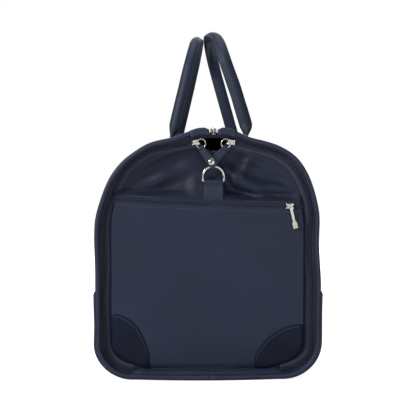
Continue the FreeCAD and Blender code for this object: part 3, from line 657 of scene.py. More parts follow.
def mouth_open(s, face):
    """How far the zip has parted between the two sliders: from 0 to 1 at the front, barely at the rear."""
    share = smooth(1.7 * (1 - (HALF_ROUND - s) / MOUTH))
    return share if face < 0 else 0.12 * share


def name_slot(piece, nodes):
    if nodes:
        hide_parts(*nodes)


def done(piece, body, slot, *nodes):
    """Rides a finished piece on its body and hides the CAD nodes that it stands for; the slot is not used."""
    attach(piece, body)
    name_slot(piece, nodes)


def fold_with(piece, side, slot, *nodes):
    """A piece that runs from the base up one flap: its transform is baked into its mesh, and the CAD nodes
    that it stands for are hidden.
    """
    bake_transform(piece)
    name_slot(piece, nodes)


def at_end(end, piece):
    """Turns a piece that was made at the front half a turn about the upright axis, if it is for the rear."""
    if end == "rear":
        piece.data.transform(Matrix.Rotation(math.pi, 4, "Z"))
    return piece


def sew(name, body, row, normal, slot="trim", end="front", **how):
    """A finished row of stitches on a body."""
    done(at_end(end, stitches(name, row, normal, **how)), body, slot)


# ---- the wrap: cover, shell, lining, rims ----


def cover_layers(side, y, s):
    """The leather of the base and lower sides: it laps over the rims and stands proud at its top edge."""
    proud = 1.1 * MM * smooth((s - 0.100) / 0.06) + swell(y, s, side)
    lap = smooth((abs(y) - 0.2585) / 0.006)
    edge = 0.9 * MM * smooth((abs(y) - 0.2675) / 0.003)
    top_edge = 0.7 * MM * smooth((s - COVER_END + 0.004) / 0.004)
    return layers(side, s, y, edge + top_edge - proud, 1.5 * MM + 0.2 * MM * lap - proud * (1 - lap))


def shell_layers(side, y, s):
    out = swell(y, s, side)
    tuck = 1.2 * MM * smooth((abs(y) - 0.250) / 0.007)
    return layers(side, s, y, 1.3 * MM - out + tuck, 4.4 * MM - out * 0.4)


def lining_layers(side, y, s):
    """Quilted lining with diamonds stitched into the padding."""
    cell = 0.048
    cushion = min(abs(math.sin(math.pi * (y + s) / cell)), abs(math.sin(math.pi * (y - s) / cell))) ** 0.5
    puff = 1.6 * MM * cushion * smooth((s - 0.170) / 0.03)
    return layers(side, s, y, 7.0 * MM + puff, 6.2 * MM + puff * 0.3)


def build_rim(name, side, face):
    """The piped binding along one end of the wrap, from the middle of the floor to the top zip."""
    frames = []
    for s in steps(0.0, HALF_ROUND - 5.2 * MM, 4 * MM):
        origin, normal = wrapped(side, s, 4.2 * MM, face * (HALF_LENGTH - 6.5 * MM))
        frames.append((origin, normal, Y * face))
    pipe = oval(PIPE_WIDE, PIPE_DEEP, 20, 2.7)

    def section(k):
        wave = 1 + 0.035 * rumple(frames[k][0], 70.0, 11)
        return [(a * wave, b) for a, b in pipe]

    return sweep(name, frames, section, TRIM)


def build_wrap():
    lap_rows = [k * y for k in (-1, 1) for y in (0.2585, 0.262, 0.266, 0.268)]
    ys = sorted(set(steps(-0.2692, 0.2692, 6 * MM) + lap_rows))
    top_rows = [COVER_END - 3 * MM, COVER_END - MM, COVER_END]
    for name, side in SIDES:
        stations = steps(0.0, COVER_END - 5 * MM, 5.5 * MM) + top_rows
        cover = slab(f"{name}_base_cover", ys, stations, partial(cover_layers, side), COVER)
        fold_with(crease(cover, 60), side, "cover", "base_panel", f"{name}_lower_cover")
        s = COVER_END - 4 * MM
        row = [wrapped(side, s, -1.1 * MM - swell(y, s, side), y)[0] for y in ys]
        sew(f"{name}_cover_stitches", f"{name}_flap", row, X * side)
        stations = steps(COVER_END - 14 * MM, HALF_ROUND - 9 * MM, 5 * MM)
        shell_ys = steps(-0.2572, 0.2572, 6 * MM)
        shell = slab(f"{name}_shell_twill", shell_ys, stations, partial(shell_layers, side), TWILL)
        done(shell, f"{name}_flap", "twill", f"{name}_shell")
        stations = steps(0.0, HALF_ROUND - 17 * MM, 6 * MM)
        lining_ys = steps(-0.2560, 0.2560, 6 * MM)
        lining = slab(f"{name}_quilted_lining", lining_ys, stations, partial(lining_layers, side), LINING)
        fold_with(lining, side, "lining", "base_lining", f"{name}_padded_lining")
        for end, face in ENDS:
            rim = build_rim(f"{end}_{name}_rim", side, face)
            fold_with(rim, side, "trim", "base_edge_binding", f"{name}_edge_binding")
            y = face * (HALF_LENGTH - 1.0 * MM)
            row = [wrapped(side, s, 7.0 * MM, y)[0] for s in steps(0.004, HALF_ROUND - 32 * MM, 5 * MM)]
            seam = stitches(f"{end}_{name}_rim_stitches", row, Y * face, yarn=DARK_THREAD)
            fold_with(seam, side, "trim")


# ---- zips ----


def zip_half(stem, stations, near, far, across, out, offset=0.0, lift=1.2 * MM):
    """One half of a coil zip: the tape between its near and far edge, and a tooth at every pitch of the near
    edge. near and far give a point and the outward face at a station; across points away from the chain."""

    def tape_layers(s, v):
        (a, face), (b, _) = near(s), far(s)
        point = a.lerp(b, v)
        return point + face * (TAPE_THICK / 2), point - face * (TAPE_THICK / 2)

    tape = slab(f"{stem}_tape", stations, [0, 0.12, 0.3, 0.5, 0.7, 0.88, 1.0], tape_layers, TAPE)
    width = (near(stations[0])[0] - far(stations[0])[0]).length
    for corner in tape.data.uv_layers[0].data:
        corner.uv = (corner.uv[0], corner.uv[1] * width)
    places = []
    for place, direction in resample([near(s)[0] for s in stations], TOOTH_PITCH):
        side = across(place, direction)
        places.append((place + side * (1.25 * MM) + out * lift + direction * offset, side, direction, out))
    return tape, many(f"{stem}_coil", places, TOOTH, COIL_PAINTED_SHADE)


def end_tape_edges(side, face, inner):
    """Both edges of an end tape by station, at the chain and away from it."""

    def near(s):
        parted = mouth_open(s, face)
        if inner:
            inset, depth = INNER_CHAIN + MOUTH_DIP * parted, 0.0
        else:
            inset, depth = OUTER_CHAIN - MOUTH_WIDER * parted, MOUTH_BACK * parted
        return wrapped(side, s, inset + wander(side, s), face * (WRAP_END - 0.4 * MM - depth))[0], Y * face

    def far(s):
        inset = INNER_FAR + MOUTH_DIP * mouth_open(s, face) + wander(side, s) if inner else OUTER_FAR
        return wrapped(side, s, inset, face * (WRAP_END - 0.4 * MM))[0], Y * face

    return near, far


def outward_at(place, direction):
    """Across the chain in the plane of the end, away from the middle of the panel."""
    side = Vector((direction.z, 0, -direction.x)).normalized()
    away = Vector((place.x - PANEL_CENTRE.x, 0, place.z - PANEL_CENTRE.y))
    return side if side.dot(away) > 0 else -side


def build_end_zips():
    stations = steps(ZIP_FOOT, HALF_ROUND - 0.3 * MM, 3.5 * MM)
    for end, face in ENDS:
        for name, side in SIDES:
            edges = end_tape_edges(side, face, inner=False)
            tape, teeth = zip_half(f"{end}_{name}_outer", stations, *edges, outward_at, Y * face)
            fold_with(tape, side, "tape", f"{name}_end_zip_halves", "base_zip_corners")
            fold_with(teeth, side, "tape")

            def inward_at(place, direction):
                return -outward_at(place, direction)

            edges = end_tape_edges(side, face, inner=True)
            stem, offset = f"{end}_{name}_inner", TOOTH_PITCH / 2
            tape, teeth = zip_half(stem, stations, *edges, inward_at, Y * face, offset)
            done(tape, f"{end}_end", "tape", f"{end}_zip_half")
            done(teeth, f"{end}_end", "tape")


def build_top_zip():
    lengths = steps(-(HALF_LENGTH - 4 * MM), HALF_LENGTH - 4 * MM, 5 * MM)
    for name, side in SIDES:

        def near(y, side=side):
            return on_wrap(side, HALF_ROUND - 0.4 * MM, 3.6 * MM, y)

        def far(y, side=side):
            reach = 15.5 * MM if abs(y) < WRAP_END else 4.6 * MM
            return on_wrap(side, HALF_ROUND - reach, 3.7 * MM, y)

        def across(place, direction, side=side):
            return X * side

        offset = 0.0 if side < 0 else TOOTH_PITCH / 2
        tape, teeth = zip_half(f"{name}_top", lengths, near, far, across, Z, offset)
        done(tape, f"{name}_flap", "tape", f"{name}_top_zip_half")
        done(teeth, f"{name}_flap", "tape")
        row = [on_wrap(side, HALF_ROUND - 11.5 * MM, 1.15 * MM, y)[0] for y in steps(-0.235, 0.235, 5 * MM)]
        sew(f"{name}_top_zip_stitches", f"{name}_flap", row, Z, "twill")


# ---- borders of flat pieces ----


def ring_border(corners, pitch=2.0 * MM):
    """Points evenly along a closed polygon."""
    found = []
    for a, b in zip(corners, corners[1:] + corners[:1]):
        a, b = Vector(a), Vector(b)
        count = max(1, round((b - a).length / pitch))
        found += [a.lerp(b, k / count) for k in range(count)]
    return found


def inset_border(border, distance):
    """A convex border drawn in towards its middle."""
    centre = sum(border, Vector((0, 0))) / len(border)
    found = []
    for k, p in enumerate(border):
        along = border[(k + 1) % len(border)] - border[k - 1]
        normal = Vector((-along.y, along.x)).normalized()
        found.append(p + normal * math.copysign(distance, normal.dot(centre - p)))
    return found


def rounded_corners(low, high, radius, foot_radius):
    """A rectangle's border with its corners rounded: (u, v) from low to high."""
    (u0, v0), (u1, v1) = low, high
    corners = []
    for u, v, r, first in (
        (u1 - foot_radius, v0 + foot_radius, foot_radius, -90),
        (u1 - radius, v1 - radius, radius, 0),
        (u0 + radius, v1 - radius, radius, 90),
        (u0 + foot_radius, v0 + foot_radius, foot_radius, 180),
    ):
        corners += [(u + r * c, v + r * s) for c, s in arc(first, first + 91, 15)]
    return ring_border(corners)


# ---- end panels and the pocket ----


def inset_at(x, z):
    """How far a point of the end lies inside the outline."""
    x = abs(x)
    if z < CORNER_R:
        return z if x < FLOOR_HALF else CORNER_R - math.hypot(x - FLOOR_HALF, z - CORNER_R)
    if z < SIDE_TOP:
        return HALF_WIDTH - x
    if math.atan2(z - SIDE_TOP, x - SHOULDER_X) < JUNCTION and x > SHOULDER_X:
        return SHOULDER_R - math.hypot(x - SHOULDER_X, z - SIDE_TOP)
    return TOP_R - math.hypot(x, z - TOP_CENTRE_Z)


def half_width_at(z, inset):
    """Half the width of the inset outline at a height, found by halving."""
    low, high = 0.0, HALF_WIDTH
    for _ in range(30):
        middle = (low + high) / 2
        low, high = (middle, high) if inset_at(middle, z) > inset else (low, middle)
    return low


def ridge(x, z, start, end, width, height):
    """A soft fold of cloth along a line: a crest with a shallow valley beside it."""
    a, b = Vector(start), Vector(end)
    along = b - a
    t = (Vector((x, z)) - a).dot(along) / along.length_squared
    across = (Vector((x, z)) - a).cross(along.normalized()) / width
    if not -0.3 < t < 1.3:
        return 0.0
    fade = smooth((t + 0.3) / 0.5) * smooth((1.3 - t) / 0.5)
    return height * fade * (math.exp(-(across**2)) - 0.7 * math.exp(-((across - 1.5) ** 2)))


# Each fold's start, end, width and height
FOLDS = (
    ((0.018, 0.268), (0.070, 0.234), 8 * MM, 8.5 * MM),
    ((0.034, 0.250), (0.106, 0.240), 8 * MM, 7.0 * MM),
    ((0.060, 0.288), (0.034, 0.252), 6 * MM, 5.0 * MM),
    ((0.084, 0.264), (0.050, 0.270), 6 * MM, 4.0 * MM),
    ((0.026, 0.232), (0.074, 0.212), 9 * MM, 4.5 * MM),
    ((-0.018, 0.276), (-0.070, 0.246), 10 * MM, 4.6 * MM),
    ((-0.104, 0.238), (-0.050, 0.262), 9 * MM, 4.0 * MM),
    ((-0.014, 0.246), (-0.064, 0.226), 9 * MM, 3.6 * MM),
)
PLAIN_FOLDS = (
    ((-0.080, 0.190), (-0.020, 0.120), 16 * MM, 3.4 * MM),
    ((0.090, 0.160), (0.030, 0.100), 14 * MM, 3.0 * MM),
    ((0.020, 0.190), (0.080, 0.215), 12 * MM, 3.0 * MM),
    ((-0.060, 0.080), (0.030, 0.060), 16 * MM, 2.2 * MM),
)


def foot_sink(z):
    """How far an end's cloth draws in just above its lower seam."""
    return FOOT_SINK * (1 - smooth((z - 0.019) / 0.034))


def lowered(x, z):
    """Height an end's cloth really takes: between the corners it hangs lower at the foot."""
    return z - FOOT_DROP * smooth((0.108 - abs(x)) / 0.036) * (1 - smooth((z - 0.018) / 0.070))


def panel_out(x, z, plain):
    """How far the end panel's cloth stands out of its plane; it sinks in above the middle. The plain panel at
    the rear has no pocket, so it shows folds lower down as well."""
    edge = smooth((inset_at(x, z) - 17.5 * MM) / (10 * MM))
    tab = 1 - smooth(1 - max(abs(x) - 0.016, 0) / 0.012) * smooth(1 - abs(z - 0.240) / 0.026)
    out = -UPPER_SINK * smooth((z - 0.215) / 0.03) - 1.2 * MM
    out += sum(ridge(x, z, *fold) for fold in (FOLDS + PLAIN_FOLDS if plain else FOLDS))
    out += 1.3 * MM * rumple((x, 0, z), 20.0, 21) + 0.6 * MM * rumple((x, 0, z), 55.0, 22)
    return max(-14 * MM, min(2.2 * MM, out)) * edge * tab - foot_sink(z) * edge


def panel_point(x, z, plain, h=0.0):
    """A point on the end panel's face, raised by h."""
    return Vector((x, -(PANEL_PLANE + panel_out(x, z, plain) + h), lowered(x, z)))


def build_panel(end, face):
    stations = steps(0.0, HALF_ROUND, 4 * MM)
    border = []
    for side, run in ((1, stations), (-1, stations[-2:0:-1])):
        for s in run:
            inset = PANEL_INSET + MOUTH_DIP * mouth_open(s, face) + wander(side, s)
            point = wrapped(side, s, inset, 0.0)[0]
            # the rear panel is turned round later, so its sway is drawn mirrored here
            border.append(Vector((-face * point.x, point.z)))
    rings = [(share, 1.0) for share in [1.0, 0.985] + [0.965 * (1 - k / 36) for k in range(36)]]

    def place(q, share, height, outer):
        return panel_point(q.x, q.y, end == "rear", 0.0 if outer else -PANEL_THICK)

    # The end panel wears the twill copy with painted recess shade.
    panel = at_end(end, leaf(f"{end}_panel_twill", border, PANEL_CENTRE, rings, place, TWILL_PAINTED_SHADE))
    done(panel, f"{end}_end", "twill", f"{end}_panel")


def zip_line(x):
    """Height of the pocket zip at x, with its slight sag."""
    sag = 1.3 * MM * (1 - min(1.0, abs(x) / 0.112) ** 2)
    return POCKET_ZIP_Z - math.tan(POCKET_SLOPE) * x - sag


def pocket_point(x, z, h=0.0):
    """A point on the pocket's face, raised by h."""
    edge = smooth((inset_at(x, z) - 19.0 * MM) / (3.2 * MM))
    hem = smooth((zip_line(x) - POCKET_LIP - z) / 0.020)
    body = 1.4 * MM * smooth((z - 0.02) / 0.04) * hem
    waves = 1.0 * MM * rumple((x, 0, z), 12.0, 31) + 0.5 * MM * rumple((x, 0, z), 34.0, 32)
    waves += 0.9 * MM * rumple((x * 0.5 + z * 0.8, 0, z * 0.2), 30.0, 33) * smooth((z - 0.04) / 0.05)
    out = (body + waves * (0.35 + 0.65 * hem)) * edge - 3.6 * MM * (1 - edge) - foot_sink(z)
    return Vector((x, POCKET_FACE - out - h, lowered(x, z)))


def build_pocket():
    tall = POCKET_ZIP_Z - POCKET_LIP - POCKET_INSET
    across = [math.sin(k / 44 * math.pi / 2) for k in range(-44, 45)]
    up = [1 - (1 - k / 52) ** 1.15 for k in range(53)]

    def shape(u, v):
        z = POCKET_INSET + v * tall
        z += v * (zip_line(u * half_width_at(z, POCKET_INSET)) - POCKET_ZIP_Z)
        point = pocket_point(u * half_width_at(z, POCKET_INSET), z)
        return point, point + Y * POCKET_THICK

    pocket = slab("front_pocket_twill", across, up, shape, TWILL)
    for loop, corner in zip(pocket.data.loops, pocket.data.uv_layers[0].data):
        spot = pocket.data.vertices[loop.vertex_index].co
        corner.uv = (spot.x, spot.z)
    done(pocket, "front_end", "twill", "front_pocket_panel")
    hem = [pocket_point(x, zip_line(x) - 7.0 * MM, 0.1 * MM) for x in steps(-0.117, 0.117, 4 * MM)]
    sew("front_pocket_hem_stitches", "front_end", hem, -Y, "twill")
    xs = steps(-0.1205, 0.1195, 4 * MM)
    for label, sign in (("upper", 1), ("lower", -1)):

        def tape_edge(x, away, sign=sign):
            return Vector((x, POCKET_TAPE_FACE + 0.4 * MM, zip_line(x) + sign * away)), -Y

        def across_chain(place, direction, sign=sign):
            return Z * sign

        near, far = partial(tape_edge, away=0.3 * MM), partial(tape_edge, away=6.0 * MM)
        offset = 0.0 if sign < 0 else TOOTH_PITCH / 2
        stem = f"front_pocket_{label}"
        tape, teeth = zip_half(stem, xs, near, far, across_chain, -Y, offset, 0.9 * MM)
        done(tape, "front_end", "tape", "front_pocket_zip")
        done(teeth, "front_end", "tape")

    def upper(x, v):
        """From the zip's tape back to the panel's face."""
        z = zip_line(x) + POCKET_LIP + v
        back = smooth(v / (16 * MM))
        plane = PANEL_PLANE + panel_out(x, z, False) - 1.2 * MM * smooth((v - 13 * MM) / (4 * MM))
        y = (1 - back) * (-POCKET_TAPE_FACE + 1.2 * MM) + back * plane
        return Vector((x, -y, z)), Vector((x, -y + 0.9 * MM, z))

    rows = [0.0, 0.5 * MM, 1.5 * MM] + steps(3 * MM, 17 * MM, 2 * MM)
    # The strip back to the panel wears the twill copy with painted recess shade.
    done(slab("front_pocket_upper_edge", xs, rows, upper, TWILL_PAINTED_SHADE), "front_end", "twill")


def patch_border(side, width, height):
    """The border of a quarter-oval patch in a lower corner, and the line of its seam."""
    points, seam = [], []
    start = FLOOR_HALF + 28.8 * MM - width
    for s in steps(start, CORNER_END + PATCH_INSET + height - CORNER_R, 2.5 * MM):
        x, z, nx, nz = outline(s)
        points.append(Vector((side * (x - PATCH_INSET * nx), z - PATCH_INSET * nz)))
    first = abs(points[0].x)
    for c, s in arc(95, 180, 5):
        x, z = HALF_WIDTH - PATCH_INSET + width * c, PATCH_INSET + height * s
        if x > first:
            points.append(Vector((side * x, z)))
            normal = Vector((c / width, s / height)).normalized() * 3 * MM
            seam.append((side * (x - normal.x), z - normal.y))
    return points, seam


def build_corner_patches(end):
    for name, side, width, height in (("left", -1, 0.050, 0.064), ("right", 1, 0.066, 0.050)):
        border, seam = patch_border(side, width, height)

        def place(a, b, h):
            if end == "front":
                return pocket_point(a, b, h - 0.15 * MM)
            return panel_point(a, b, True, h - 0.15 * MM)

        patch = plate(f"{end}_{name}_corner_patch", border, 1.3 * MM, place, PATCH, crown=0.4 * MM)
        done(at_end(end, patch), f"{end}_end", "trim", f"{end}_corner_patches")
        row = [place(x, z, 1.5 * MM) for x, z in seam]
        sew(f"{end}_{name}_corner_stitches", f"{end}_end", row, -Y, end=end)


def build_ring_tab(end):
    """The folded leather tab: two layers sewn to the panel, rolled round the ring's straight side."""
    shift, foot = (TAB_SHIFT, 219 * MM) if end == "front" else (0.0, 230 * MM)
    half = 12.3 * MM
    radius = 2.5 * MM
    bar_y, bar_z = -WRAP_END - 2.5 * MM, 251 * MM
    back = ((0.4, foot), (0.5, 238 * MM), (0.3, 246 * MM))
    front = ((2.2, 246.5 * MM), (1.7, 238 * MM), (1.6, foot))
    points = [(-WRAP_END - out * MM, z) for out, z in back]
    points += [(bar_y + radius * c, bar_z + radius * s) for c, s in arc(0, 226, 15)]
    points += [(-WRAP_END - out * MM, z) for out, z in front]
    frames = path_frames([Vector((shift, y, z)) for y, z in points], X)
    section = oval(2 * half, 1.3 * MM, 24, 5.0)
    tab = at_end(end, sweep(f"{end}_ring_tab_leather", frames, lambda k: section, TRIM))
    done(tab, f"{end}_end", "trim", f"{end}_ring_tab")
    side, low, high = half - 2.6 * MM, foot + 2 * MM, 243 * MM
    left, right = (-side, low), (side, low)
    left_top, right_top = (-side, high), (side, high)
    lines = ((left, right), (left_top, right_top), (left, left_top), (right, right_top))
    for k, line in enumerate(lines + ((left_top, (0.0, low), right_top),)):
        row = [Vector((shift + x, -WRAP_END - 2.4 * MM, z)) for x, z in line]
        sew(f"{end}_ring_tab_stitches_{k}", f"{end}_end", row, -Y, end=end, pitch=2.8 * MM)
    build_strap_ring(end, shift)


def build_strap_ring(end, shift):
    """The D ring: round wire, straight through the tab and arched above it."""
    low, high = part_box("front_strap_ring")
    wire = (high.y - low.y) / 2
    half = (high.x - low.x) / 2 - wire
    bar, top = low.z + wire, high.z - wire
    corner = 2.6 * MM
    path = [(x, bar) for x in steps(-half + corner, half - corner, 3 * MM)]
    path += [(half + corner * (c - 1), bar + corner * (1 + s)) for c, s in arc(-75, 0, 15)]
    rising = path[::-1]
    path += [(half * c, top - half + half * s) for c, s in arc(0, 181, 9)]
    path += [(-x, z) for x, z in rising if z > bar]
    points = [Vector((shift + x, (low.y + high.y) / 2, z)) for x, z in path]
    section = oval(1.5 * wire, 1.5 * wire, 14)
    ring = sweep(f"{end}_d_ring", path_frames(points, Y, closed=True), lambda k: section, NICKEL, closed=True)
    done(at_end(end, ring), f"{end}_strap_ring", "nickel", f"{end}_strap_ring")


# ---- leather on the wrap: tabs for the handles, patches over the zip's ends ----

HANDLE_X = 53.5 * MM
TAB_HALF, TAB_LONG = 15 * MM, 62 * MM
TAB_TOP = HALF_ROUND - math.asin(HANDLE_X / TOP_R) * TOP_R
# The seam that crosses a handle tab, in mm along the bag and down from the tab's top
TAB_CROSS = ((-11, -16), (11, -38), (-11, -38), (11, -16), (-11, -16))
# A zip-end patch from its sewn edge over the end: (mm past the bag's end, mm under the outline)
PATCH_PROFILE = ((-20, 0.3), (-12, -0.2), (-6, -0.5), (-2.2, -0.3),
                 (-0.2, 1.2), (0.9, 3.4), (0.7, 5.6), (-0.6, 7.4))


def shell_normal(side):
    def normal(place):
        if place.z < SIDE_TOP:
            return X * side
        if abs(place.x) > SHOULDER_X and math.atan2(place.z - SIDE_TOP, abs(place.x) - SHOULDER_X) < JUNCTION:
            return Vector((place.x - side * SHOULDER_X, 0, place.z - SIDE_TOP)).normalized()
        return Vector((place.x, 0, place.z - TOP_CENTRE_Z)).normalized()

    return normal


def build_handle_tab(name, side, label, y):
    flap = f"{name}_flap"
    normal = shell_normal(side)

    def place(y, s, h):
        point, up = wrapped(side, s, 1.2 * MM - swell(y, s, side), y)
        return point + up * h

    border = rounded_corners((y - TAB_HALF, TAB_TOP - TAB_LONG), (y + TAB_HALF, TAB_TOP), 1.5 * MM, 13 * MM)
    tab = plate(f"{name}_{label}_handle_tab", border, 1.8 * MM, place, TRIM, crown=0.3 * MM)
    done(tab, flap, "trim", f"{name}_handle_tabs")
    seam = [place(p.x, p.y, 2.1 * MM) for p in inset_border(border, 3 * MM)]
    sew(f"{name}_{label}_tab_stitches", flap, seam + seam[:1], normal)
    seam = [place(y + a * MM, TAB_TOP + b * MM, 2.15 * MM) for a, b in TAB_CROSS]
    seam = [a.lerp(b, k / 8) for a, b in zip(seam, seam[1:]) for k in range(8)]
    sew(f"{name}_{label}_tab_cross", flap, seam, normal, lift=0.25 * MM)
    pivot = handle_place(name, side)(Vector())
    half = TAB_HALF - 0.4 * MM
    frames = [(Vector((pivot.x, y + t, pivot.z - 0.6 * MM)), X, Z) for t in steps(-half, half, 2 * MM)]
    tips = {0: 0.55, 1: 0.88, len(frames) - 2: 0.88, len(frames) - 1: 0.55}

    def roll(k):
        share = tips.get(k, 1.0)
        return [(a * share, b * share) for a, b in oval(4.2 * MM, 3.8 * MM, 14)]

    done(sweep(f"{name}_{label}_handle_fold", frames, roll, TRIM), flap, "trim")


def build_handle_tabs():
    for name, side in SIDES:
        low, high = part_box(f"{name}_handle_tabs")
        for label, sign in ENDS:
            build_handle_tab(name, side, label, sign * ((high.y - low.y) / 2 - TAB_HALF))


def build_zip_end_patches():
    first, last = HALF_ROUND - 29 * MM, HALF_ROUND - 5.5 * MM
    stations = steps(first, last, 3 * MM)
    rows = steps(0, len(PATCH_PROFILE) - 1, 0.5)
    for name, side in SIDES:
        for end, face in ENDS:

            def shape(s, v, side=side, face=face):
                k = min(int(v), len(PATCH_PROFILE) - 2)
                past, inset = (a + (b - a) * (v - k) for a, b in zip(*PATCH_PROFILE[k : k + 2]))
                inset = inset * MM + 0.8 * MM * (1 - smooth((s - first) / (10 * MM)))
                point, normal = on_wrap(side, s, inset, face * (HALF_LENGTH + past * MM))
                middle = on_wrap(side, s, 4.5 * MM, face * (HALF_LENGTH - 7 * MM))[0]
                inward = -normal if v < 2.5 else (middle - point).normalized()
                return point, point + inward * 1.2 * MM

            patch = slab(f"{end}_{name}_zip_patch", stations, rows, shape, TRIM)
            done(patch, f"{name}_flap", "trim", f"{name}_zip_end_patches")
            row = [on_wrap(side, s, 0.1 * MM, face * (HALF_LENGTH - 17.5 * MM))[0] for s in stations]
            stem = f"{end}_{name}_zip_patch_stitches"
            sew(stem, f"{name}_flap", row, shell_normal(side), pitch=3.4 * MM)


# ---- handles ----

RISES = {"left": 165 * MM, "right": 175 * MM}
LEANS = {"left": math.radians(13.3), "right": math.radians(16.2)}
BENDS = ((150 * MM, math.radians(20)), (60 * MM, math.radians(62)))
FOOT_Z = TOP_CENTRE_Z + math.sqrt((TOP_R - 1.2 * MM) ** 2 - HANDLE_X**2) + 3 * MM
GRIP_R, FILLER_R, LEAF_HALF, LEAF_THICK = 9.5 * MM, 6 * MM, 15 * MM, 1.5 * MM
SEAM_ANGLE = math.radians(54)
SEAM_SPREAD = 0.36
LEAF_SEAM = 0.72


def handle_path(rise, pitch=4 * MM):
    """Half of a handle from its crown to its foot, as (y, z, heading) in its own plane."""
    y, z, heading = 0.0, rise, 0.0
    found = [(y, z, heading)]
    for radius, turn in BENDS:
        count = max(2, round(radius * turn / pitch))
        chord = 2 * radius * math.sin(turn / count / 2)
        for _ in range(count):
            heading -= turn / count / 2
            y += chord * math.cos(heading)
            z += chord * math.sin(heading)
            heading -= turn / count / 2
            found.append((y, z, heading))
    length = (z - 1.5 * MM) / -math.sin(heading)
    for reach in steps(0, length, pitch)[1:]:
        found.append((y + reach * math.cos(heading), z + reach * math.sin(heading), heading))
    return found


def handle_place(name, side):
    """From the handle's own plane to its leaning place on the bag."""
    turn = Matrix.Rotation(-side * LEANS[name], 4, "Y")
    move = Matrix.Translation(Vector((side * HANDLE_X, 0, FOOT_Z)))
    return lambda p: move @ turn @ p


def leg_splay(name, y, z):
    """The front leg of the right handle bows outward, away from its straight drawn line."""
    if name == "left" or y > 0:
        return 0.0
    reach = smooth(-y / 0.07)
    return LEG_BOW * reach * (0.30 + 0.70 * smooth(z / 0.022)) * (1 - 0.25 * smooth((z - 0.07) / 0.07))


def grip_size(z):
    """How far the grip has turned into its flat leaf at a height, and its half width and thickness."""
    leaf_share = 1 - smooth((z - 3 * MM) / (26 * MM))
    half = GRIP_R + (LEAF_HALF - GRIP_R) * leaf_share
    return leaf_share, half, GRIP_R + (LEAF_THICK - GRIP_R) * leaf_share


def build_handle(name, side):
    body = f"{name}_handle"
    place = handle_place(name, side)
    half = handle_path(RISES[name])
    path = [(-y, z, -heading) for y, z, heading in half[:0:-1]] + half
    frames = []
    for y, z, heading in path:
        origin = place(Vector((0, y, z)))
        origin.x += LEAN * (0.4 + 0.6 * smooth(z / 0.03)) + leg_splay(name, y, z)
        across = place(Vector((0, -math.sin(heading), math.cos(heading)))) - place(Vector())
        frames.append((origin, across, place(X * -side) - place(Vector())))
    seed = 3 if side < 0 else 8

    def section(k):
        leaf_share, a, b = grip_size(path[k][1])
        swollen = 1 + 0.03 * rumple(frames[k][0], 35.0, seed)
        squareness = 2 + 1.2 * leaf_share
        points = []
        for m in range(36):
            angle = 2 * math.pi * m / 36
            c, s = math.cos(angle), math.sin(angle)
            seam = abs((angle - SEAM_ANGLE + math.pi) % (2 * math.pi) - math.pi)
            fin = 1.5 * MM * math.exp(-((seam / 0.17) ** 2))
            fin -= 0.6 * MM * math.exp(-(((seam - 0.42) / 0.14) ** 2))
            fin *= 1 - leaf_share
            u, v = rounded(c, squareness), rounded(s, squareness)
            points.append(((a * u + fin * c) * swollen, (b * v + fin * s) * swollen))
        return points

    done(sweep(f"{name}_handle_leather", frames, section, GRIP_PAINTED_LIGHT), body, "grip", f"{name}_handle_grip")
    padded = [frame_at for frame_at, (_, z, _) in zip(frames, path) if z > 26 * MM]
    core = sweep(f"{name}_handle_filler", padded, lambda k: oval(2 * FILLER_R, 2 * FILLER_R, 16), FILLER)
    done(core, body, "filler", f"{name}_handle_core")
    for label, sign in (("a", 1), ("b", -1)):
        angle = SEAM_ANGLE + sign * SEAM_SPREAD
        row, normals = [], []
        for (origin, across, inner), (_, z, _) in zip(frames, path):
            if z > 30 * MM:
                normals.append(across * math.cos(angle) + inner * math.sin(angle))
                row.append(origin + normals[-1] * 9.35 * MM)

        def out(p, row=row, normals=normals):
            return normals[min(range(len(row)), key=lambda k: (row[k] - p).length_squared)]

        sew(f"{name}_handle_seam_{label}", body, row, out, "grip", lift=0.2 * MM)
    for label, end_sign in ENDS:
        for k, sign in enumerate((-1, 1)):
            seam = []
            for (origin, across, inner), (y, z, _) in zip(frames, path):
                if 4 * MM < z < 24 * MM and y * end_sign > 0:
                    leaf_share, a, b = grip_size(z)
                    level = (1 - LEAF_SEAM**3) ** (1 / 3) * leaf_share
                    level += (1 - LEAF_SEAM**2) ** 0.5 * (1 - leaf_share)
                    seam.append(origin + across * (sign * LEAF_SEAM * a) + inner * -(b * level + 0.1 * MM))
            sew(f"{name}_{label}_leaf_seam_{k}", body, seam, -frames[0][2], "grip")


# ---- inside: the strap that holds the clothes ----


def build_inside():
    middle, half = CORNER_END + 95 * MM, 12.5 * MM

    def shape(y, s):
        inset = 8.9 * MM + 0.5 * MM * rumple((y, s, 0), 22.0, 41)
        return layers(-1, s, y, inset + 1.4 * MM, inset)

    for label, low, high in (("front", -0.215, -0.019), ("rear", 0.019, 0.215)):
        stations = steps(middle - half, middle + half, 3 * MM)
        strap = slab(f"left_garment_strap_{label}", steps(low, high, 6 * MM), stations, shape, WEBBING)
        done(strap, "left_flap", "webbing", "left_garment_strap")
    for label, face in ENDS:
        stations = steps(middle - half + 2 * MM, middle + half - 2 * MM, 3 * MM)
        row = [wrapped(-1, s, 10.4 * MM, face * 0.209)[0] for s in stations]
        sew(f"strap_bartack_{label}", "left_flap", row, X, "webbing", pitch=2.6 * MM)


# ---- zip sliders, rings and leather pulls, each made in its own frame ----

# Half of a slider's plan in mm, from its narrow end to its wide end
SLIDER_PLAN = ((-5.4, 3.3), (-4.7, 3.6), (-3.9, 2.8), (-1.5, 3.1),
               (1.5, 3.9), (3.4, 4.1), (4.7, 3.6), (5.2, 2.8))
RING_REACH, RING_DROP, RING_R, RING_WIRE = 6.3 * MM, 2.6 * MM, 5.8 * MM, 0.75 * MM
CHAIN_R = TOP_R - CHAIN_INSET
SLIDER_ANGLE = math.radians(8)
SNAP_DOWN = 22.5
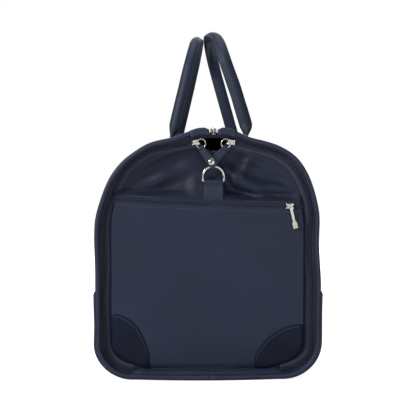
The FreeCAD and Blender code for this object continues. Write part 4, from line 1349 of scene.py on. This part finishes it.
# The press stud's halves as (height, radius) in mm
CAP = ((1.9, 0), (1.85, 1.6), (1.6, 3.0), (1.1, 4.0), (0.5, 4.5), (0.0, 4.6), (-0.4, 3.0), (-0.4, 0))
STUD = ((1.1, 0), (1.1, 1.4), (0.7, 1.7), (0.2, 1.7), (0.2, 4.0), (-0.1, 4.3), (-0.5, 4.0), (-0.5, 0))


def slider_shape(name, mouth):
    """A zip slider: two shaped plates with side guides, the post between them and an arched bridge.
    The chain runs along X, the tape's face is z 0, and mouth is the side on which the zip is open."""
    plan = [(mouth * x, y) for x, y in SLIDER_PLAN]
    plan += [(mouth * 4.1, 0.0)] + [(x, -y) for x, y in plan[::-1]]
    border = ring_border([(x * MM, y * MM) for x, y in plan], 1.2 * MM)
    pieces = []
    for low, thickness in ((2.3 * MM, 1.5 * MM), (-2.4 * MM, 1.3 * MM)):

        def place(a, b, h, low=low):
            return Vector((a, b, low + h))

        pieces.append(plate("plate", border, thickness, place, NICKEL, edge=0.5 * MM))
    for across in (-1, 1):
        spots = [Vector((mouth * x, across * (y - 0.45), 1.5)) * MM for x, y in SLIDER_PLAN[2:7]]
        guide = oval(0.9 * MM, 2.4 * MM, 12, 4)
        pieces.append(sweep("guide", [(spot, Y, Z) for spot in spots], lambda k: guide, NICKEL))
    post = [(Vector((mouth * x, 0, 0.6)) * MM, Y, Z) for x in (0.6, 4.0)]
    pieces.append(sweep("post", post, lambda k: oval(1.1 * MM, 4.4 * MM, 12, 4), NICKEL))
    arch = []
    for c, s in arc(0, 181, 15):
        rise = Vector((-math.copysign(abs(c) ** 0.55, c) * 3.7 * MM, 0, 0.2 * MM + abs(s) ** 0.55 * 3.2 * MM))
        arch.append((rise + Z * 3.2 * MM, Y, rise.normalized()))
    pieces.append(sweep("bridge", arch, lambda k: oval(1.9 * MM, 1.0 * MM, 12, 3.5), NICKEL))
    return crease(joined(name, pieces))


def shifted(x, y, z):
    return Matrix.Translation(Vector((x, y, z)))


def lean(piece):
    """Moves a piece of the top hardware with the swaying top of the bag."""
    piece.data.transform(shifted(LEAN + TOP_SWAY, 0, 0))
    return piece


def build_end_slider(end, name, side):
    """A slider on the front end's zip, with its ring, and turned round for the rear."""
    centre = Vector((-side * RING_REACH, -RING_DROP, 5 * MM))
    loop = ring_shape("loop", centre, RING_R, RING_WIRE)
    slider = crease(joined(f"{end}_{name}_zip_slider", [slider_shape("body", -side), loop]))
    pivot = shifted(0, 0, TOP_CENTRE_Z)
    stand = shifted(0, -WRAP_END, TOP_CENTRE_Z + CHAIN_R) @ Matrix.Rotation(math.pi / 2, 4, "X")
    slider.data.transform(pivot @ Matrix.Rotation(side * SLIDER_ANGLE, 4, "Y") @ pivot.inverted() @ stand)
    done(lean(at_end(end, slider)), f"{end}_{name}_slider", "nickel", f"{end}_{name}_slider")


def build_leather_pull(end, name, side):
    """The strap that hangs from a slider's ring; the left one lies over the right one and carries the cap."""
    body = f"{end}_{name}_pull"
    crown = Vector((-side * RING_REACH, -WRAP_END - 5 * MM, CHAIN_R - RING_DROP))
    foot = Matrix.Rotation(side * SLIDER_ANGLE, 4, "Y") @ crown + Z * (TOP_CENTRE_Z - RING_R)
    slant = math.asin((foot.x + (2 * MM if side < 0 else 0.0)) / (SNAP_DOWN * MM))
    tilt = math.radians(13) if side < 0 else 0.0
    hang = shifted(*foot) @ Matrix.Rotation(slant, 4, "Y") @ Matrix.Rotation(-tilt, 4, "X")
    turn = hang.to_3x3()
    corners = [(-4.3, -1.2), (-5.3, -13.0)]
    corners += [(6.3 * c, -24.2 + 6.3 * s) for c, s in arc(190, 351, 16)]
    corners += [(5.3, -13.0), (4.3, -1.2)]
    border = ring_border([(x * MM, z * MM) for x, z in corners], 1.4 * MM)

    def place(a, b, h):
        return hang @ Vector((a, 1.0 * MM - h, b))

    strap = plate("strap", border, 2.0 * MM, place, TRIM, crown=0.25 * MM, edge=0.7 * MM)
    frames = [(hang @ (X * x), turn @ Y, turn @ Z) for x in steps(-3.6 * MM, 3.6 * MM, 1.2 * MM)]
    roll = sweep("roll", frames, lambda k: oval(4.4 * MM, 4.4 * MM, 16), TRIM)
    pull = crease(joined(f"{end}_{name}_leather_pull", [strap, roll]), 50)
    done(lean(at_end(end, pull)), body, "trim", body)
    row = [place(p.x, p.y, 2.15 * MM) for p in inset_border(border, 1.5 * MM)]
    out = (turn @ -Y).normalized()
    seam = stitches(f"{end}_{name}_pull_stitches", row + row[:1], out, yarn=DARK_THREAD)
    done(lean(at_end(end, seam)), body, "trim")
    # the cap sits on the left strap's face; the stud is sewn through the right strap
    label, profile = ("cap", CAP) if side < 0 else ("stud", STUD)
    vertices, faces = turned([(h * MM, r * MM) for h, r in profile], 32)
    vertices = [hang @ Vector((a, -1.0 * MM - h, -SNAP_DOWN * MM + b)) for h, a, b in vertices]
    button = new_object(f"{end}_snap_{label}", vertices, faces, NICKEL)
    done(lean(at_end(end, button)), body, "nickel", f"{body}_snap")


def build_top_slider():
    low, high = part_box("top_zip_slider")
    slider = slider_shape("top_slider", -1)
    tape_z = TOP_CENTRE_Z + TOP_R - 3.2 * MM + ZIP_RISE
    slider.data.transform(shifted(0, (low.y + high.y) / 2, tape_z) @ Matrix.Rotation(math.pi / 2, 4, "Z"))
    done(lean(slider), "top_zip_slider", "nickel", "top_zip_slider")


def build_top_pull():
    """The bar that lies along the top zip, with its eye round the slider's bridge."""
    low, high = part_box("top_zip_pull")
    middle_z = (low.z + high.z) / 2 + ZIP_RISE
    half = (high.x - low.x) / 2
    thick = (high.z - low.z) * 0.8
    border = rounded_corners((-half, low.y + 4 * MM), (half, high.y - 0.5 * MM), 2 * MM, 2 * MM)

    def place(a, b, h):
        return Vector((a, b, middle_z - thick / 2 + h))

    bar = plate("bar", border, thick, place, NICKEL, edge=0.5 * MM)
    eye_y = low.y + 3 * MM if abs(low.y) > abs(high.y) else high.y - 3 * MM
    loop = ring_shape("loop", Vector((0, eye_y, middle_z)), 3.2 * MM, 0.7 * MM)
    done(lean(crease(joined("top_bar_pull", [bar, loop]))), "top_zip_pull", "nickel", "top_zip_pull")


def build_pocket_slider():
    low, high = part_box("front_pocket_slider")
    slider = slider_shape("pocket_slider", 1)
    x = (low.x + high.x) / 2
    place = shifted(x, POCKET_TAPE_FACE, POCKET_ZIP_Z - math.tan(POCKET_SLOPE) * x)
    turn = Matrix.Rotation(POCKET_SLOPE, 4, "Y") @ Matrix.Rotation(math.pi / 2, 4, "X")
    slider.data.transform(place @ turn)
    done(slider, "front_pocket_slider", "nickel", "front_pocket_slider")


# ---- the seam between the base and each end panel ----


def build_end_seam(end, face):
    """A soft strip from under the rim up to the panel's lower edge."""
    reach, foot = 107 * MM, 6.0 * MM

    def shape(x, v):
        taper = smooth((reach - abs(x)) / (26 * MM))
        rise = foot + (lowered(x, 20.5 * MM) - foot) * taper * v
        puff = math.sin(math.pi * v) * (2.6 + 0.8 * rumple((x, v * 0.01, face), 45.0, 51)) * MM
        y = (265.2 - 6.4 * v) * MM + puff * taper
        z = rise + front_bow(x, HALF_LENGTH) * (1 - v)
        return Vector((x, face * y, z)), Vector((x, face * (y - 1.0 * MM), z - 0.4 * MM))

    seam = slab(f"{end}_hinge_strip", steps(-reach, reach, 4 * MM), steps(0.0, 1.0, 0.1), shape, TWILL)
    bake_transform(seam)
    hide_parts("end_seam_strips")


# ---- CAD nodes that stay as they are: board, buckle, hanger and pocket pull ----

SLOT_MATERIALS = {
    "twill": TWILL,
    "trim": TRIM,
    "cover": COVER,
    "grip": GRIP_PAINTED_LIGHT,
    "tape": TAPE,
    "lining": LINING,
    "webbing": WEBBING,
    "buckle": BLACK,
    "board": BOARD,
    "filler": FILLER,
    "nickel": NICKEL,
}
# How far the edges of such a node are rounded, in mm
EDGE_ROUND = {"nickel": 0.35, "trim": 0.6, "buckle": 1.0, "board": 0.8, "webbing": 0.3}


def dress_nodes():
    for part in frame["record"]["subparts"]:
        node, slot = frame["nodes"][part["node"]], part["material_slot"]
        if node.hide_render:
            continue
        for material_slot in node.material_slots:
            material_slot.material = SLOT_MATERIALS[slot]
        if slot in EDGE_ROUND:
            modifier = node.modifiers.new("round", "BEVEL")
            modifier.width = EDGE_ROUND[slot] * MM
            modifier.segments = 2
            modifier.limit_method = "ANGLE"
            modifier.angle_limit = math.radians(35)
            modifier.use_clamp_overlap = True


# ---- studio ----

TARGET = Vector((0.0, -0.270, 0.218))
CAMERA_AZIMUTH = math.radians(-1.1)
CAMERA_HEIGHT = 0.247
LENS = 69.2


def aimed(name, data, place, aim):
    """An object at a place, turned to look at another."""
    thing = bpy.data.objects.new(name, data)
    thing.location = place
    thing.rotation_euler = (Vector(aim) - Vector(place)).to_track_quat("-Z", "Y").to_euler()
    bpy.context.collection.objects.link(thing)
    return thing


def build_camera():
    data = bpy.data.cameras.new("photo_camera")
    data.lens = LENS
    data.sensor_width = 36
    place = TARGET + Vector((math.sin(CAMERA_AZIMUTH), -math.cos(CAMERA_AZIMUTH), 0))
    place.z = CAMERA_HEIGHT
    bpy.context.scene.camera = aimed("photo_camera", data, place, TARGET)


def area_light(name, place, aim, size, power):
    data = bpy.data.lights.new(name, "AREA")
    data.shape = "RECTANGLE"
    data.size, data.size_y = size
    data.energy = power
    aimed(name, data, place, aim)


def build_studio():
    world = bpy.context.scene.world or bpy.data.worlds.new("studio")
    bpy.context.scene.world = world
    world.use_nodes = True
    background = world.node_tree.nodes["Background"]
    background.inputs["Color"].default_value = (1.0, 1.0, 1.0, 1)
    seen = world.node_tree.nodes.new("ShaderNodeLightPath").outputs["Is Camera Ray"]
    level = world.node_tree.nodes.new("ShaderNodeMapRange")
    level.inputs["To Min"].default_value = 0.16
    level.inputs["To Max"].default_value = 1.0
    world.node_tree.links.new(seen, level.inputs["Value"])
    world.node_tree.links.new(level.outputs["Result"], background.inputs["Strength"])
    area_light("key", (-1.5, -1.4, 1.3), (0, -0.1, 0.18), (0.6, 0.6), 30)
    area_light("fill", (0.5, -2.0, 0.6), (0, -0.1, 0.18), (1.4, 1.0), 5)
    area_light("top", (0.0, 0.1, 1.8), (0, 0, 0.2), (1.6, 1.6), 10)
    area_light("back", (0.3, 1.8, 1.1), (0, 0, 0.25), (1.4, 1.0), 14)
    white = Nodes("studio_white", (0.93, 0.93, 0.93), Roughness=0.9, Specular_IOR_Level=0.1)
    white.shader.inputs["Emission Color"].default_value = (1, 1, 1, 1)
    seen = white.add("LightPath", {}, "Is Camera Ray")
    white.link(white.range(seen, 0.05, 0.90), "Emission Strength")
    size = 30.0
    vertices = [(-size, -size, 0), (size, -size, 0), (size, size, 0), (-size, size, 0)]
    new_object("studio_floor", vertices, [[0, 1, 2, 3]], white.material, flat=True)
    bpy.context.scene.view_settings.view_transform = "Standard"


build_wrap()
build_end_zips()
build_top_zip()
for which, facing in ENDS:
    build_panel(which, facing)
build_pocket()
for which, _ in ENDS:
    build_corner_patches(which)
    build_ring_tab(which)
for which, _ in ENDS:
    for flap_side in SIDES:
        build_end_slider(which, *flap_side)
        build_leather_pull(which, *flap_side)
build_top_slider()
build_top_pull()
build_pocket_slider()
build_handle_tabs()
build_zip_end_patches()
for flap_side in SIDES:
    build_handle(*flap_side)
build_inside()
for which, facing in ENDS:
    build_end_seam(which, facing)
dress_nodes()
build_camera()
build_studio()
